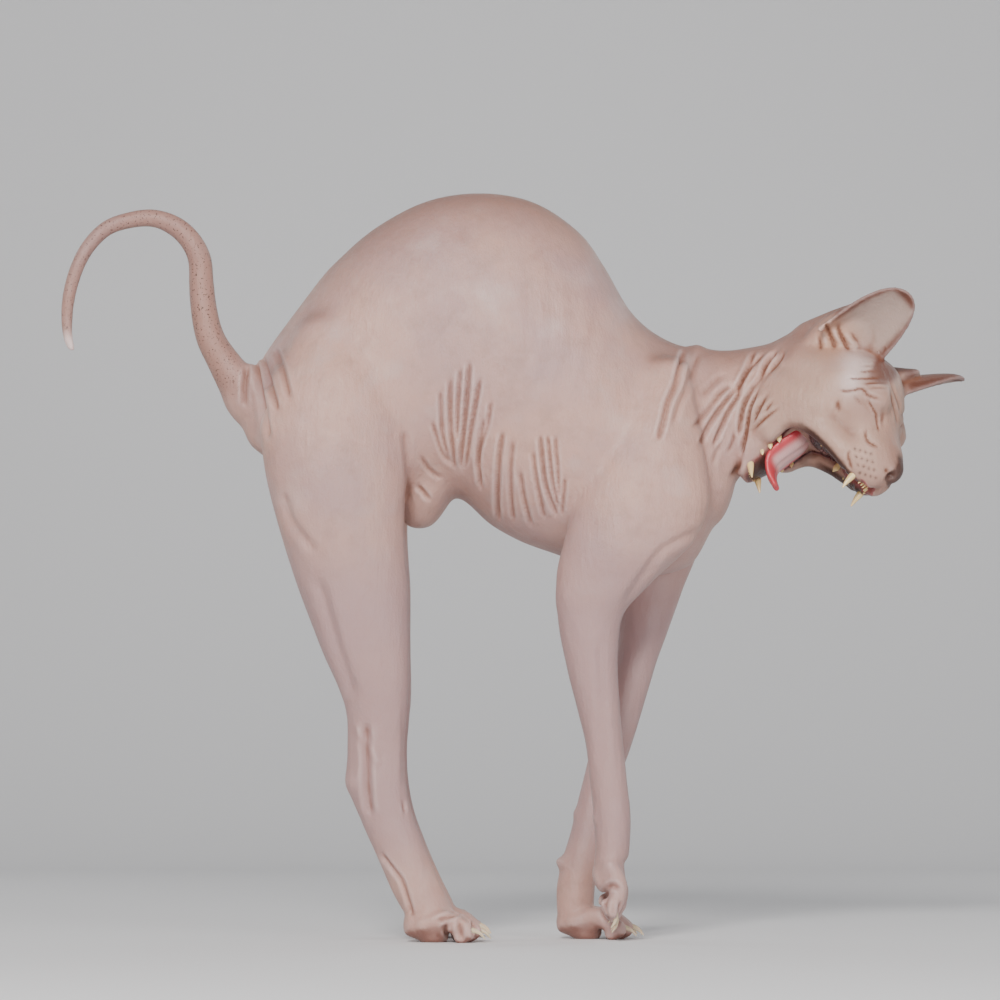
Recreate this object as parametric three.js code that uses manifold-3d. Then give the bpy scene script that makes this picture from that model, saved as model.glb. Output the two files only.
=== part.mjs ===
// A sphynx cat at life size: back arched high, tail hooked, mouth wide open in a yawn with the eyes shut.
// It stands on both hind paws and the left fore paw, and the right fore paw is lifted just off the floor.
// Millimetres. +X points the way the cat walks, +Y to its left, +Z up. The floor is z = 0.
import * as THREE from "three";
import { mergeVertices } from "three/addons/utils/BufferGeometryUtils.js";
import Module from "manifold-3d";

const wasm = await Module();
wasm.setup();

// Driving dimensions
const GAP = 0.3; // between neighbouring pieces
const SKULL_AT = [174.7, -14, 292.8]; // middle of the skull
const HEAD_PITCH = 55; // degrees, nose down
const HEAD_YAW = 32; // degrees, turned to the cat's right
const EAR_LENGTH = 50;
const EAR_HALF_WIDTH = 19;
const EAR_THICK = 2.2;
const EYE_RADIUS = 10.5;
const CLAW_LENGTH = 9;
const CLAW_RADIUS = 1.15;
const CANINE_LENGTH = 11;
const CANINE_RADIUS = 1.9;
const SMALLEST_PIECE = 40; // cubic millimetres, below which a cut-off sliver is dropped
const LEFT = 1;
const RIGHT = -1;

const SKIN = { color: 0xc9a49a, roughness: 0.6, metalness: 0 };
const EAR_SKIN = { color: 0xb98f84, roughness: 0.6, metalness: 0 };
const NOSE_SKIN = { color: 0x7d5a52, roughness: 0.5, metalness: 0 };
const TONGUE = { color: 0xb23a48, roughness: 0.35, metalness: 0 };
const ENAMEL = { color: 0xe8d6a8, roughness: 0.3, metalness: 0 };
const CLAW_HORN = { color: 0xd8cbb2, roughness: 0.35, metalness: 0 };

const vec = (x, y, z) => new THREE.Vector3(x, y, z);

// Solids from closed three.js geometry, and back
function solid(geometry) {
  const bare = geometry.clone();
  bare.deleteAttribute("normal");
  bare.deleteAttribute("uv");
  const merged = mergeVertices(bare, 1e-4);
  return new wasm.Manifold(
    new wasm.Mesh({
      numProp: 3,
      vertProperties: new Float32Array(merged.attributes.position.array),
      triVerts: new Uint32Array(merged.index.array),
    }),
  );
}

function geometryOf(body) {
  const mesh = body.getMesh();
  const step = mesh.numProp;
  const points = new Float32Array(mesh.numVert * 3);
  for (let i = 0; i < mesh.numVert; i++) {
    points.set(mesh.vertProperties.subarray(i * step, i * step + 3), i * 3);
  }
  const geometry = new THREE.BufferGeometry();
  geometry.setAttribute("position", new THREE.BufferAttribute(points, 3));
  geometry.setIndex(new THREE.BufferAttribute(new Uint32Array(mesh.triVerts), 1));
  return geometry.toNonIndexed();
}

const largest = (body) => body.decompose().reduce((a, b) => (b.volume() > a.volume() ? b : a));

const join = (bodies) => bodies.reduce((all, one) => all.add(one));

// One row of a sweep: a centre and the two half axes of its oval
const row = (centre, upper, side) => ({ centre, upper, side });

// Rows from outline stations seen from the side: [upper x, upper z, lower x, lower z, half width, y]
function outlineRows(stations, side, grow) {
  return stations.map(([ax, az, bx, bz, half, y]) => {
    const upper = vec((ax - bx) / 2, 0, (az - bz) / 2);
    upper.setLength(upper.length() + grow);
    return row(vec((ax + bx) / 2, y * side, (az + bz) / 2), upper, vec(0, half + grow, 0));
  });
}

// Rows from a centre line: [x, y, z, half height, half width], the oval square to the line
function lineRows(points, side, grow) {
  const centres = points.map(([x, y, z]) => vec(x, y * side, z));
  const line = new THREE.CatmullRomCurve3(centres, false, "centripetal");
  return points.map(([, , , high, wide = high], i) => {
    const along = line.getTangent(i / (points.length - 1));
    const upper = vec(-along.z, 0, along.x).setLength(high + grow);
    const across = along.clone().cross(upper).setLength(wide + grow);
    return row(centres[i], upper, across);
  });
}

// A closed form swept through rows: a unit sphere whose latitude runs from the first row to the last.
// dome is how far each rounded end reaches past its row, as a share of the row's height.
// egg widens the upper half of each oval and narrows the lower half.
function sweep(rows, { around = 16, along = 16, dome = 0.5, square = 2, egg = 0 } = {}) {
  const curve = (key) =>
    new THREE.CatmullRomCurve3(rows.map((r) => r[key]), false, "centripetal");
  const [centres, uppers, sides] = ["centre", "upper", "side"].map(curve);
  const capShare = Math.min(0.25, 2.5 / along);
  const shape = new THREE.SphereGeometry(1, around, along);
  const { position, uv } = shape.attributes;
  for (let i = 0; i < position.count; i++) {
    const latitude = 1 - uv.getY(i);
    const inner = (latitude - capShare) / (1 - 2 * capShare);
    const t = THREE.MathUtils.clamp(inner, 0, 1);
    const past = Math.max(capShare - latitude, latitude - (1 - capShare), 0) / capShare;
    const upper = uppers.getPoint(t);
    const side = sides.getPoint(t);
    const angle = uv.getX(i) * 2 * Math.PI;
    const bow = (v) => Math.sign(v) * Math.abs(v) ** (2 / square);
    const high = bow(Math.cos(angle)) * Math.cos((past * Math.PI) / 2);
    const wide = bow(Math.sin(angle)) * Math.cos((past * Math.PI) / 2) * (1 + egg * high);
    const out = Math.sign(latitude - 0.5) * Math.sin((past * Math.PI) / 2) * dome * upper.length();
    const point = centres
      .getPoint(t)
      .addScaledVector(centres.getTangent(t), out)
      .addScaledVector(upper, high)
      .addScaledVector(side, wide);
    position.setXYZ(i, point.x, point.y, point.z);
  }
  const made = solid(shape);
  return made.volume() < 0 ? solid(turnedRound(shape)) : made;
}

function turnedRound(shape) {
  const index = shape.index.array;
  for (let i = 0; i < index.length; i += 3) [index[i + 1], index[i + 2]] = [index[i + 2], index[i + 1]];
  return shape;
}

const outlined = (stations, side, grow, options) => sweep(outlineRows(stations, side, grow), options);
const lined = (points, side, grow, options) => sweep(lineRows(points, side, grow), options);

function ellipsoid(at, radii, around = 14, along = 10) {
  const shape = new THREE.SphereGeometry(1, around, along);
  shape.scale(...radii);
  shape.translate(...at);
  return solid(shape);
}

// A thin slab that parts a limb: centre, the direction it faces in degrees from +X towards +Z, half size
function thinCut(x, y, z, facing, half) {
  const shape = new THREE.BoxGeometry(GAP, 2 * half, 2 * half);
  shape.rotateY((-facing * Math.PI) / 180);
  shape.translate(x, y, z);
  return solid(shape);
}

function placed(body, matrix) {
  return body.transform(matrix.elements);
}

// The paw, in its own frame: x to the toe tips, z up from the sole
const TOE_SPREAD = [-10.2, -3.7, 3.7, 10.2];
const TOE_REACH = [-3.5, 0, 0, -3.5];
const TOE_FAN = [-0.2, -0.06, 0.06, 0.2]; // sideways drift of each toe, per millimetre of reach

const TOE_SWEEP = { around: 6, along: 4, dome: 0.8 };

function toeRows(k, grow, curl) {
  const y = TOE_SPREAD[k];
  const x = TOE_REACH[k];
  const drift = (reach) => y + TOE_FAN[k] * reach;
  return lineRows(
    [
      [x - 8, y * 0.85, 10, 4.6, 4.2],
      [x + 3, drift(3), 12.6 - curl * 0.5, 5, 4.4],
      [x + 11, drift(11), 9.4 - curl, 5, 4.5],
      [x + 16.5, drift(16), 5.4 - curl * 1.5, 4.6, 4.2],
    ],
    1,
    grow,
  );
}

function pawBody(curl) {
  const palm = lined(
    [
      [-17, 0, 11, 7.5, 9],
      [-9, 0, 9.5, 8.5, 12],
      [0, 0, 9, 7.5, 13],
    ],
    1,
    0,
    { around: 7, along: 5 },
  );
  const toes = TOE_SPREAD.map((_, k) => sweep(toeRows(k, 0, curl), TOE_SWEEP));
  const pad = ellipsoid([-5, 0, 3.4], [8.5, 9.5, 4.4], 7, 4);
  return join([palm, pad, ...toes]);
}

function clawOfToe(k, curl) {
  const reach = TOE_REACH[k] + 17;
  const y = TOE_SPREAD[k] + TOE_FAN[k] * 18;
  const z = 6.8 - curl * 1.5;
  const r = CLAW_RADIUS;
  const claw = sweep(
    lineRows(
      [
        [reach, y, z, r * 1.5, r * 0.9],
        [reach + CLAW_LENGTH * 0.5, y, z - 0.6, r * 1.2, r * 0.75],
        [reach + CLAW_LENGTH * 0.9, y, z - 3.2, r * 0.5, r * 0.4],
      ],
      1,
      0,
    ),
    { around: 4, along: 4, dome: 1 },
  );
  return largest(claw.subtract(sweep(toeRows(k, GAP, curl), TOE_SWEEP)));
}

// Where each paw stands: the frame that carries the paw's own
function pawFrame(x, y, z, pitch, yaw, size) {
  const frame = new THREE.Matrix4().makeTranslation(x, y, z);
  frame.multiply(new THREE.Matrix4().makeRotationY((pitch * Math.PI) / 180));
  frame.multiply(new THREE.Matrix4().makeRotationZ((yaw * Math.PI) / 180));
  return frame.multiply(new THREE.Matrix4().makeScale(size, size, size));
}

// Outline stations of the soft forms
const TRUNK = [
  [-138, 312, -138, 262, 14, 0],
  [-129, 325, -124, 250, 30, 0],
  [-117, 341, -103, 240, 40, 0],
  [-100, 363, -78, 232, 45, 0],
  [-75, 385, -54, 234, 47, 0],
  [-46, 400, -38, 240, 47, 0],
  [-17, 404, -27, 234, 48, 0],
  [13, 398, -13, 221, 50, 0],
  [37, 381, 3, 213, 50, 0],
  [52, 358, 23, 207, 50, 0],
  [64, 338, 46, 199, 47, 0],
  [81, 324, 73, 195, 42, 0],
  [95, 319, 95, 201, 36, 0],
  [104, 308, 108, 222, 26, 0],
];
const POUCH = [
  [-64, 275, -24, 275, 24, 0],
  [-64, 256, -26, 254, 27, 0],
  [-63, 242, -31, 242, 25, 0],
  [-62, 231, -37, 231, 20, 0],
  [-60, 223, -43, 223, 13, 0],
];
const NECK = [
  [82, 318, 98, 206, 32, 1],
  [99, 320, 107, 220, 31, 1],
  [114, 318, 112, 231, 28, 1],
  [129, 320, 118, 243, 27, 0],
  [142, 322, 124, 252, 26, -2],
  [155, 322, 132, 262, 25, -4],
  [166, 316, 142, 270, 22, -6],
];
const HIND_LEG = [
  [-117, 326, -76, 330, 12, 29],
  [-135, 285, -60, 296, 20, 33],
  [-134, 253, -57, 254, 24, 34],
  [-126, 220, -58, 220, 23, 34],
  [-116, 188, -56, 189, 19, 34],
  [-104, 157, -56, 160, 16, 33],
  [-93, 134, -56, 137, 13.5, 32],
  [-89, 118, -57, 120, 11, 31],
  [-89, 100, -58, 103, 9.5, 30],
  [-89, 83, -57, 83, 10, 29],
  [-82, 65, -54, 68, 10, 28],
  [-73, 45, -47, 49, 9.5, 28],
  [-64, 25, -39, 31, 10.5, 28],
  [-57, 13, -33, 19, 12, 28],
];
const HIND_CUTS = [
  [-82, 34, 176, 100, 60],
  [-72, 29.5, 92, 92, 28],
  [-52, 28, 27, 114, 29],
];
const LIFTED_LEG = [
  [70, 305, 93, 308, 8, 31],
  [52, 274, 99, 271, 14, 35],
  [33, 237, 104, 234, 18, 37],
  [24, 204, 95, 211, 18, 37],
  [22, 187, 71, 188, 15, 36],
  [23, 171, 58, 173, 13, 34],
  [27, 148, 55, 151, 12, 32],
  [33, 124, 56, 127, 10.5, 30],
  [38, 103, 58, 105, 9.5, 28],
  [40, 84, 60, 85, 9.5, 27],
  [42, 66, 62, 66, 10, 26],
  [43, 45, 61, 45, 10.5, 25],
];
const LIFTED_CUTS = [
  [40, 36, 189, 90, 40],
  [52, 26, 60, 90, 24],
];
const PLANTED_LEG = [
  [70, 305, 93, 308, 8, 31],
  [52, 274, 101, 270, 14, 35],
  [48, 237, 106, 234, 18, 36],
  [53, 206, 102, 212, 18, 34],
  [57, 185, 93, 190, 15, 31],
  [57, 165, 85, 168, 13, 28],
  [53, 143, 77, 146, 12, 24],
  [46, 120, 70, 123, 10.5, 21],
  [41, 100, 63, 101, 9.5, 18],
  [36, 80, 56, 82, 9.5, 16],
  [31, 59, 51, 61, 10, 14],
  [26, 42, 47, 44, 10.5, 12],
  [23, 28, 44, 30, 11, 11],
  [23, 15, 43, 18, 11, 10],
];
const PLANTED_CUTS = [
  [72, 30, 187, 76, 36],
  [37, 11, 34, 90, 24],
];
// The tail's centre line and radii, from the rump out to the tip
const TAIL = [
  [-128, 0, 290, 19, 17],
  [-137, 0, 288, 17, 14],
  [-145, 0, 294, 14, 12],
  [-151, 0, 302, 11, 10],
  [-159, 0, 314, 8.8],
  [-165, 0, 325, 8],
  [-168.5, 0, 340, 7.4],
  [-170, -0.5, 355, 7],
  [-171, -1, 368, 6.6],
  [-176, -1.5, 378, 6.2],
  [-184, -2, 385.5, 5.8],
  [-196, -2.5, 390, 5.1],
  [-208, -3, 389, 4.8],
  [-221, -3.5, 384.5, 4.5],
  [-231, -4, 374.5, 4.3],
  [-237.5, -4, 362, 4.1],
  [-241.5, -4, 347, 3.9],
  [-242.5, -4, 334, 3.5],
  [-241.5, -4, 323, 2.9],
  [-239.5, -4, 318, 2.4],
];
const TAIL_CUTS = [
  [-168, 0, 337, 104, 14],
  [-172.5, 0, 372, 118, 13],
  [-202, 0, 389.5, 183, 12],
  [-237, 0, 363, 242, 11],
];

// Forms in the head's own frame: x to the nose, y left, z to the crown, origin in the middle of the skull
const SKULL = [
  [-41, 4, -39, -20, 17, 0],
  [-34, 14, -33, -27, 24, 0],
  [-20, 23, -20, -31, 30, 0],
  [-4, 29, -6, -33, 33, 0],
  [10, 32, 8, -31, 33.5, 0],
  [22, 28, 20, -26, 30, 0],
  [32, 20.5, 30, -23, 25, 0],
  [41, 12.5, 40, -21, 19.5, 0],
  [49, 8, 48, -19, 16, 0],
  [56, 5, 55, -17, 12.5, 0],
  [61, 1, 61, -14, 8.5, 0],
];
const WHISKER_PAD = [
  [36, 1, 34, -22, 7, 11.5],
  [44, 1.5, 44, -25.5, 8, 10.5],
  [52, -0.5, 53, -25, 7.5, 8.5],
  [58, -3, 61, -21.5, 5.5, 5.5],
];
const UPPER_LIP = [
  [20, -15, 11, -35, 5, 21.5],
  [28, -13, 25, -29.5, 5.5, 20],
  [37, -11, 36, -27.5, 6, 17],
  [46, -11, 46, -26.5, 6, 13],
];
const CHEEK = [
  [24, -18, -14, -8, 7, 25],
  [19, -27, -22, -22, 7.5, 23],
  [13, -36, -22, -34, 7, 20],
  [12, -44, -15, -44, 6.5, 17],
];
const LOWER_JAW = [
  [13, -20, -28, -14, 25, 0],
  [12.5, -34, -25, -28, 24, 0],
  [12.5, -46, -16, -43, 19.5, 0],
  [12.5, -56, -8, -56, 15.5, 0],
  [12, -62.5, -2, -64, 12, 0],
  [12, -67.5, 4, -68, 8, 0],
];
const MOUTH_HOLLOW = [
  [-4, -20, -10, -30, 11, 0],
  [12, -18, 0, -38, 14.5, 0],
  [32, -17, 3.5, -52, 13, 0],
  [54, -19, 5, -63, 9.5, 0],
  [78, -22, 4, -80, 12, 0],
];
const TONGUE_LINE = [
  [1, 0, -24, 5, 9],
  [6, 0, -33, 4.5, 11],
  [7, 0, -44, 3.6, 11.5],
  [9, 0, -52, 3, 10],
  [15, 0, -56.5, 2.3, 7.5],
  [21, 0, -58, 1.6, 4.5],
];
const NOSE = [
  [57, 3.5, 57, -8, 6.6, 0],
  [62, 1.5, 61.5, -10.5, 5.8, 0],
  [65.5, -3.5, 65, -10, 4, 0],
];
const EYE_AT = [27, 18, 9.5];
const UPPER_CANINE_AT = [53.5, 9.6, -21.5];
const LOWER_CANINE_AT = [8, 8, -61];

// The ears are turned apart as a yawning cat turns them: root, way to the tip and way the hollow faces
const EARS = {
  [RIGHT]: { root: [-10, -25, 13], rise: [14, -21, 42], facing: [0.8, -0.52, -0.5] },
  [LEFT]: { root: [-2, 21, 21], rise: [15, 21.5, 42], facing: [0.8, 0.52, -0.5] },
};

// Each ear is a curved plate: a box whose x runs across the ear, y from root to tip and z through it
function earBody(side) {
  const shape = new THREE.BoxGeometry(1, 1, 1, 8, 7, 1);
  const { root: base, rise: up, facing: front } = EARS[side];
  const root = vec(...base);
  const rise = vec(...up).normalize();
  const facing = vec(...front);
  facing.addScaledVector(rise, -facing.dot(rise)).normalize();
  const across = rise.clone().cross(facing);
  const { position } = shape.attributes;
  for (let i = 0; i < position.count; i++) {
    const reach = position.getY(i) + 0.5;
    const half = EAR_HALF_WIDTH * (1 - 0.12 * reach) * Math.sqrt(Math.max(1 - reach ** 3.4, 0.015));
    const spread = THREE.MathUtils.lerp(1.75, 0.55, reach ** 0.7);
    const radius = half / Math.sin(Math.min(spread, Math.PI / 2));
    const angle = 2 * position.getX(i) * spread;
    const depth = position.getZ(i) * EAR_THICK * (1 - 0.25 * reach);
    const point = root
      .clone()
      .addScaledVector(rise, reach * EAR_LENGTH)
      .addScaledVector(across, (radius - depth) * Math.sin(angle))
      .addScaledVector(facing, radius * 0.55 - (radius - depth) * Math.cos(angle) * 0.8);
    position.setXYZ(i, point.x, point.y, point.z);
  }
  const made = solid(shape);
  return made.volume() < 0 ? solid(turnedRound(shape)) : made;
}

function toothBody(at, side, lean, size, grow) {
  const [x, y, z] = at;
  const [dx, dz] = lean;
  const tip = CANINE_LENGTH * size;
  const r = CANINE_RADIUS * size;
  return lined(
    [
      [x - dx * 3, y, z - dz * 3, r, r * 0.85],
      [x + dx * tip * 0.35, y, z + dz * tip * 0.35, r * 0.85, r * 0.7],
      [x + dx * tip * 0.9 - dz * 0.8, y * 1.04, z + dz * tip * 0.9, r * 0.32, r * 0.28],
    ],
    side,
    grow,
    { around: 6, along: 5, dome: 1 },
  );
}

const UPPER_LEAN = [0.22, -0.97];
const LOWER_LEAN = [0.88, -0.46];
const LOWER_CANINE_SHARE = 0.95; // of the upper canine's size
const canines = [RIGHT, LEFT].flatMap((side) => {
  const word = side === LEFT ? "left" : "right";
  const upper = (grow) => toothBody(UPPER_CANINE_AT, side, UPPER_LEAN, 1, grow);
  const lower = (grow) => toothBody(LOWER_CANINE_AT, side, LOWER_LEAN, LOWER_CANINE_SHARE, grow);
  return [
    { name: "canine_upper_" + word, make: upper },
    { name: "canine_lower_" + word, make: lower },
  ];
});

// Everything on the head, parted from each other in the head's own frame
function headPieces() {
  const both = (stations, grow, options) =>
    [RIGHT, LEFT].map((side) => outlined(stations, side, grow, options));
  const hollow = outlined(MOUTH_HOLLOW, 1, 0, { around: 10, along: 7, square: 2.6, dome: 0.2 });
  const skullForm = (grow) =>
    join([
      outlined(SKULL, 1, grow, { around: 14, along: 11, egg: -0.08 }),
      ...both(WHISKER_PAD, grow, { around: 8, along: 6, dome: 0.6 }),
      ...both(UPPER_LIP, grow, { around: 7, along: 6, dome: 0.6 }),
      ...both(CHEEK, grow, { around: 7, along: 6, dome: 0.6 }),
    ]);
  const jawForm = (grow) => outlined(LOWER_JAW, 1, grow, { around: 13, along: 8, egg: 0.05, dome: 0.5 });
  const eye = (side, grow) => {
    const [x, y, z] = EYE_AT;
    const radii = [EYE_RADIUS + grow, EYE_RADIUS * 0.86 + grow, EYE_RADIUS * 0.93 + grow];
    return ellipsoid([x, y * side, z], radii, 8, 6);
  };
  const nose = (grow) => outlined(NOSE, 1, grow, { around: 8, along: 6, dome: 0.5, egg: 0.2 });
  const tongue = (grow) => lined(TONGUE_LINE, 1, grow, { around: 9, along: 10, dome: 0.8 });
  const ear = (side) => largest(earBody(side).subtract(skullForm(GAP)).subtract(eye(side, GAP)));
  const inserts = join([
    tongue(GAP),
    ...canines.map((c) => c.make(GAP)),
    ...[RIGHT, LEFT].map((side) => eye(side, GAP)),
    nose(GAP),
  ]);
  const skull = skullForm(0).subtract(hollow);
  const head = skull.subtract(inserts);
  const jaw = jawForm(0).subtract(skullForm(GAP)).subtract(hollow).subtract(inserts);
  const pieces = [
    ["head", largest(head), SKIN],
    ["jaw", largest(jaw), SKIN],
    ["tongue", tongue(0), TONGUE],
    ["nose", nose(0), NOSE_SKIN],
    ["ear_right", ear(RIGHT), EAR_SKIN],
    ["ear_left", ear(LEFT), EAR_SKIN],
    ["eye_right", eye(RIGHT, 0), SKIN],
    ["eye_left", eye(LEFT, 0), SKIN],
    ...canines.map((c) => [c.name, c.make(0), ENAMEL]),
  ];
  const outer = join([skullForm(GAP), jawForm(GAP), hollow]);
  return { pieces, outer };
}

const headFrame = new THREE.Matrix4()
  .makeTranslation(...SKULL_AT)
  .multiply(new THREE.Matrix4().makeRotationY((HEAD_PITCH * Math.PI) / 180))
  .multiply(new THREE.Matrix4().makeRotationZ((-HEAD_YAW * Math.PI) / 180));

// Legs: a swept limb joined with its paw, trimmed flat at the floor and parted at its joints
const FLOOR_TRIM = (() => {
  const shape = new THREE.BoxGeometry(700, 400, 60);
  shape.translate(0, 0, -30);
  return solid(shape);
})();

const LEGS = [
  {
    name: "hind_right",
    side: RIGHT,
    stations: HIND_LEG,
    cuts: HIND_CUTS,
    lengths: ["thigh", "shank", "hock", "paw"],
    paw: pawFrame(-38, -28.5, -0.6, 0, 4, 1),
    curl: 0,
  },
  {
    name: "hind_left",
    side: LEFT,
    stations: HIND_LEG,
    cuts: HIND_CUTS,
    lengths: ["thigh", "shank", "hock", "paw"],
    paw: pawFrame(-38, 28.5, -0.6, 0, -4, 1),
    curl: 0,
  },
  {
    name: "fore_right",
    side: RIGHT,
    stations: LIFTED_LEG,
    cuts: LIFTED_CUTS,
    lengths: ["arm", "forearm", "paw"],
    paw: pawFrame(44, -25, 28, 74, 4, 0.95),
    curl: 1,
  },
  {
    name: "fore_left",
    side: LEFT,
    stations: PLANTED_LEG,
    cuts: PLANTED_CUTS,
    lengths: ["arm", "forearm", "paw"],
    paw: pawFrame(44, 10, -0.6, 0, -3, 1.02),
    curl: 0,
  },
];

const LIMB_SWEEP = { around: 11, along: 12, dome: 0.4 };
const limbForm = ({ stations, side }, grow) => outlined(stations, side, grow, LIMB_SWEEP);
const legForm = (leg) => limbForm(leg, 0).add(placed(pawBody(leg.curl), leg.paw)).subtract(FLOOR_TRIM);

function legPieces(leg) {
  const claws = TOE_SPREAD.map((_, k) => placed(clawOfToe(k, leg.curl), leg.paw));
  const slabs = leg.cuts.map(([x, y, z, facing, half]) => thinCut(x, y * leg.side, z, facing, half));
  const parts = legForm(leg)
    .subtract(join(slabs))
    .decompose()
    .filter((part) => part.volume() > SMALLEST_PIECE)
    .sort((a, b) => b.boundingBox().max[2] - a.boundingBox().max[2]);
  if (parts.length !== leg.lengths.length) throw new Error(leg.name + " parted into " + parts.length);
  return [
    ...parts.map((part, i) => [leg.name + "_" + leg.lengths[i], part, SKIN]),
    ...claws.map((claw, k) => ["claw_" + leg.name + "_" + (k + 1), claw, CLAW_HORN]),
  ];
}

// The tail, parted into five lengths so that no length closes its hook
function tailPieces(trunkForm) {
  const parts = lined(TAIL, 1, 0, { around: 8, along: 26, dome: 0.8 })
    .subtract(trunkForm)
    .subtract(join(TAIL_CUTS.map(([x, y, z, facing, half]) => thinCut(x, y, z, facing, half))))
    .decompose()
    .filter((part) => part.volume() > SMALLEST_PIECE)
    .sort((a, b) => b.boundingBox().max[0] - a.boundingBox().max[0]);
  return parts.map((part, i) => ["tail_" + (i + 1), part, SKIN]);
}

const TRUNK_SWEEP = { around: 16, along: 14, egg: -0.04, square: 2.15, dome: 0.4 };
const trunkForm = (grow) =>
  outlined(TRUNK, 1, grow, TRUNK_SWEEP).add(outlined(POUCH, 1, grow, { around: 12, along: 7, dome: 0.3 }));

const limbsGrown = join(LEGS.map((leg) => limbForm(leg, GAP)));
const headSet = headPieces();
const headOuter = placed(headSet.outer, headFrame);
const WAIST_CUT = thinCut(-30, 0, 315, 3, 130);

const trunkParts = trunkForm(0)
  .subtract(limbsGrown)
  .subtract(WAIST_CUT)
  .decompose()
  .filter((part) => part.volume() > 50 * SMALLEST_PIECE)
  .sort((a, b) => b.boundingBox().max[0] - a.boundingBox().max[0]);
const neck = largest(
  outlined(NECK, 1, 0, { around: 12, along: 8, dome: 0.3 })
    .subtract(trunkForm(GAP))
    .subtract(limbsGrown)
    .subtract(headOuter),
);

const pieces = [
  ["chest", trunkParts[0], SKIN],
  ["loin", trunkParts[1], SKIN],
  ["neck", neck, SKIN],
  ...tailPieces(trunkForm(GAP).add(limbsGrown)),
  ...LEGS.flatMap(legPieces),
  ...headSet.pieces.map(([name, body, look]) => [name, placed(body, headFrame), look]),
];

const sphynx = new THREE.Group();
for (const [name, body, look] of pieces) {
  const mesh = new THREE.Mesh(geometryOf(body), new THREE.MeshStandardMaterial(look));
  mesh.name = name;
  sphynx.add(mesh);
}

export default sphynx;
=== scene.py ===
"""A sphynx cat at life size, its back arched high in a yawn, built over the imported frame."""

import math

import bpy
import numpy as np
from mathutils import Matrix


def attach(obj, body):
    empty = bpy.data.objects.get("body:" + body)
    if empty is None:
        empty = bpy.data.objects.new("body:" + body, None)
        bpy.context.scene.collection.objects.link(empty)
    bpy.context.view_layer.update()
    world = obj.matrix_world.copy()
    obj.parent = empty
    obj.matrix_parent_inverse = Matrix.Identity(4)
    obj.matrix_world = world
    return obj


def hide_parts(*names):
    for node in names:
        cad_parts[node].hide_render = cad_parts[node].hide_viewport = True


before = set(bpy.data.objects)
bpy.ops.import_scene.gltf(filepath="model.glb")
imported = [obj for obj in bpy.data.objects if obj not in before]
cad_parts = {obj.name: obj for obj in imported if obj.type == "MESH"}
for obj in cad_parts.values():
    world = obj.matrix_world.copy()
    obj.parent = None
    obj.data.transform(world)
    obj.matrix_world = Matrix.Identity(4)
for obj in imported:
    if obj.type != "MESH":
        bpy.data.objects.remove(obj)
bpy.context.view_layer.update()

bl_info = {
    "name": "Sphynx cat",
    "version": (1, 0, 0),
    "blender": (4, 5, 0),
    "location": "3D Viewport > Sidebar > Cat",
    "description": "Builds a yawning, arched sphynx cat at life size",
    "category": "Add Mesh",
}

MM = 0.001
LEFT = 1.0
RIGHT = -1.0

# The head's place, as in the solids: middle of the skull in millimetres, pitch down and turn to the right
SKULL_AT = (174.7, -14.0, 292.8)
HEAD_PITCH = 55.0
HEAD_YAW = 32.0
EAR_LENGTH = 50.0
EAR_HALF_WIDTH = 19.0
EAR_THICKNESS = 2.7
# Half angle of the ear's arc at its root and at its tip, in radians
EAR_SPREAD = (1.75, 0.55)
# How much further forward the front edge of an ear starts than its back edge
EAR_SLANT = 3.0
EARS = {
    RIGHT: {"root": (-10, -25, 13), "rise": (14, -21, 42), "facing": (0.8, -0.52, -0.5)},
    LEFT: {"root": (-2, 21, 21), "rise": (15, 21.5, 42), "facing": (0.8, 0.52, -0.5)},
}

# Outline stations of each soft form in millimetres: upper x, upper z, lower x, lower z, half width, y
TRUNK = (
    (-138, 312, -138, 262, 14, 0),
    (-129, 325, -124, 250, 30, 0),
    (-117, 341, -103, 240, 40, 0),
    (-100, 363, -78, 232, 45, 0),
    (-75, 385, -54, 234, 47, 0),
    (-46, 400, -38, 240, 47, 0),
    (-17, 404, -27, 236, 48, 0),
    (13, 398, -13, 223, 50, 0),
    (37, 381, 3, 214, 50, 0),
    (52, 358, 23, 207, 50, 0),
    (64, 338, 46, 199, 47, 0),
    (81, 324, 73, 195, 42, 0),
    (95, 319, 95, 201, 36, 0),
    (104, 308, 108, 222, 26, 0),
)
POUCH = (
    (-64, 275, -24, 275, 24, 0),
    (-64, 256, -26, 254, 27, 0),
    (-63, 242, -31, 242, 25, 0),
    (-62, 231, -37, 231, 20, 0),
    (-60, 223, -43, 223, 13, 0),
)
NECK = (
    (82, 318, 98, 206, 32, 1),
    (99, 320, 107, 220, 31, 1),
    (114, 318, 112, 231, 28, 1),
    (129, 320, 118, 243, 27, 0),
    (142, 322, 124, 252, 26, -2),
    (155, 322, 132, 262, 25, -4),
    (166, 316, 142, 270, 22, -6),
)
HIND_LEG = (
    (-117, 326, -76, 330, 12, 29),
    (-135, 285, -60, 296, 20, 33),
    (-134, 253, -57, 254, 24, 34),
    (-126, 220, -58, 220, 23, 34),
    (-116, 188, -56, 189, 19, 34),
    (-104, 157, -56, 160, 16, 33),
    (-93, 134, -56, 137, 13.5, 32),
    (-89, 118, -57, 120, 11, 31),
    (-89, 100, -58, 103, 9.5, 30),
    (-89, 83, -57, 83, 10, 29),
    (-82, 65, -54, 68, 10, 28),
    (-73, 45, -47, 49, 9.5, 28),
    (-64, 25, -39, 31, 10.5, 28),
    (-57, 13, -33, 19, 12, 28),
)
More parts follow.
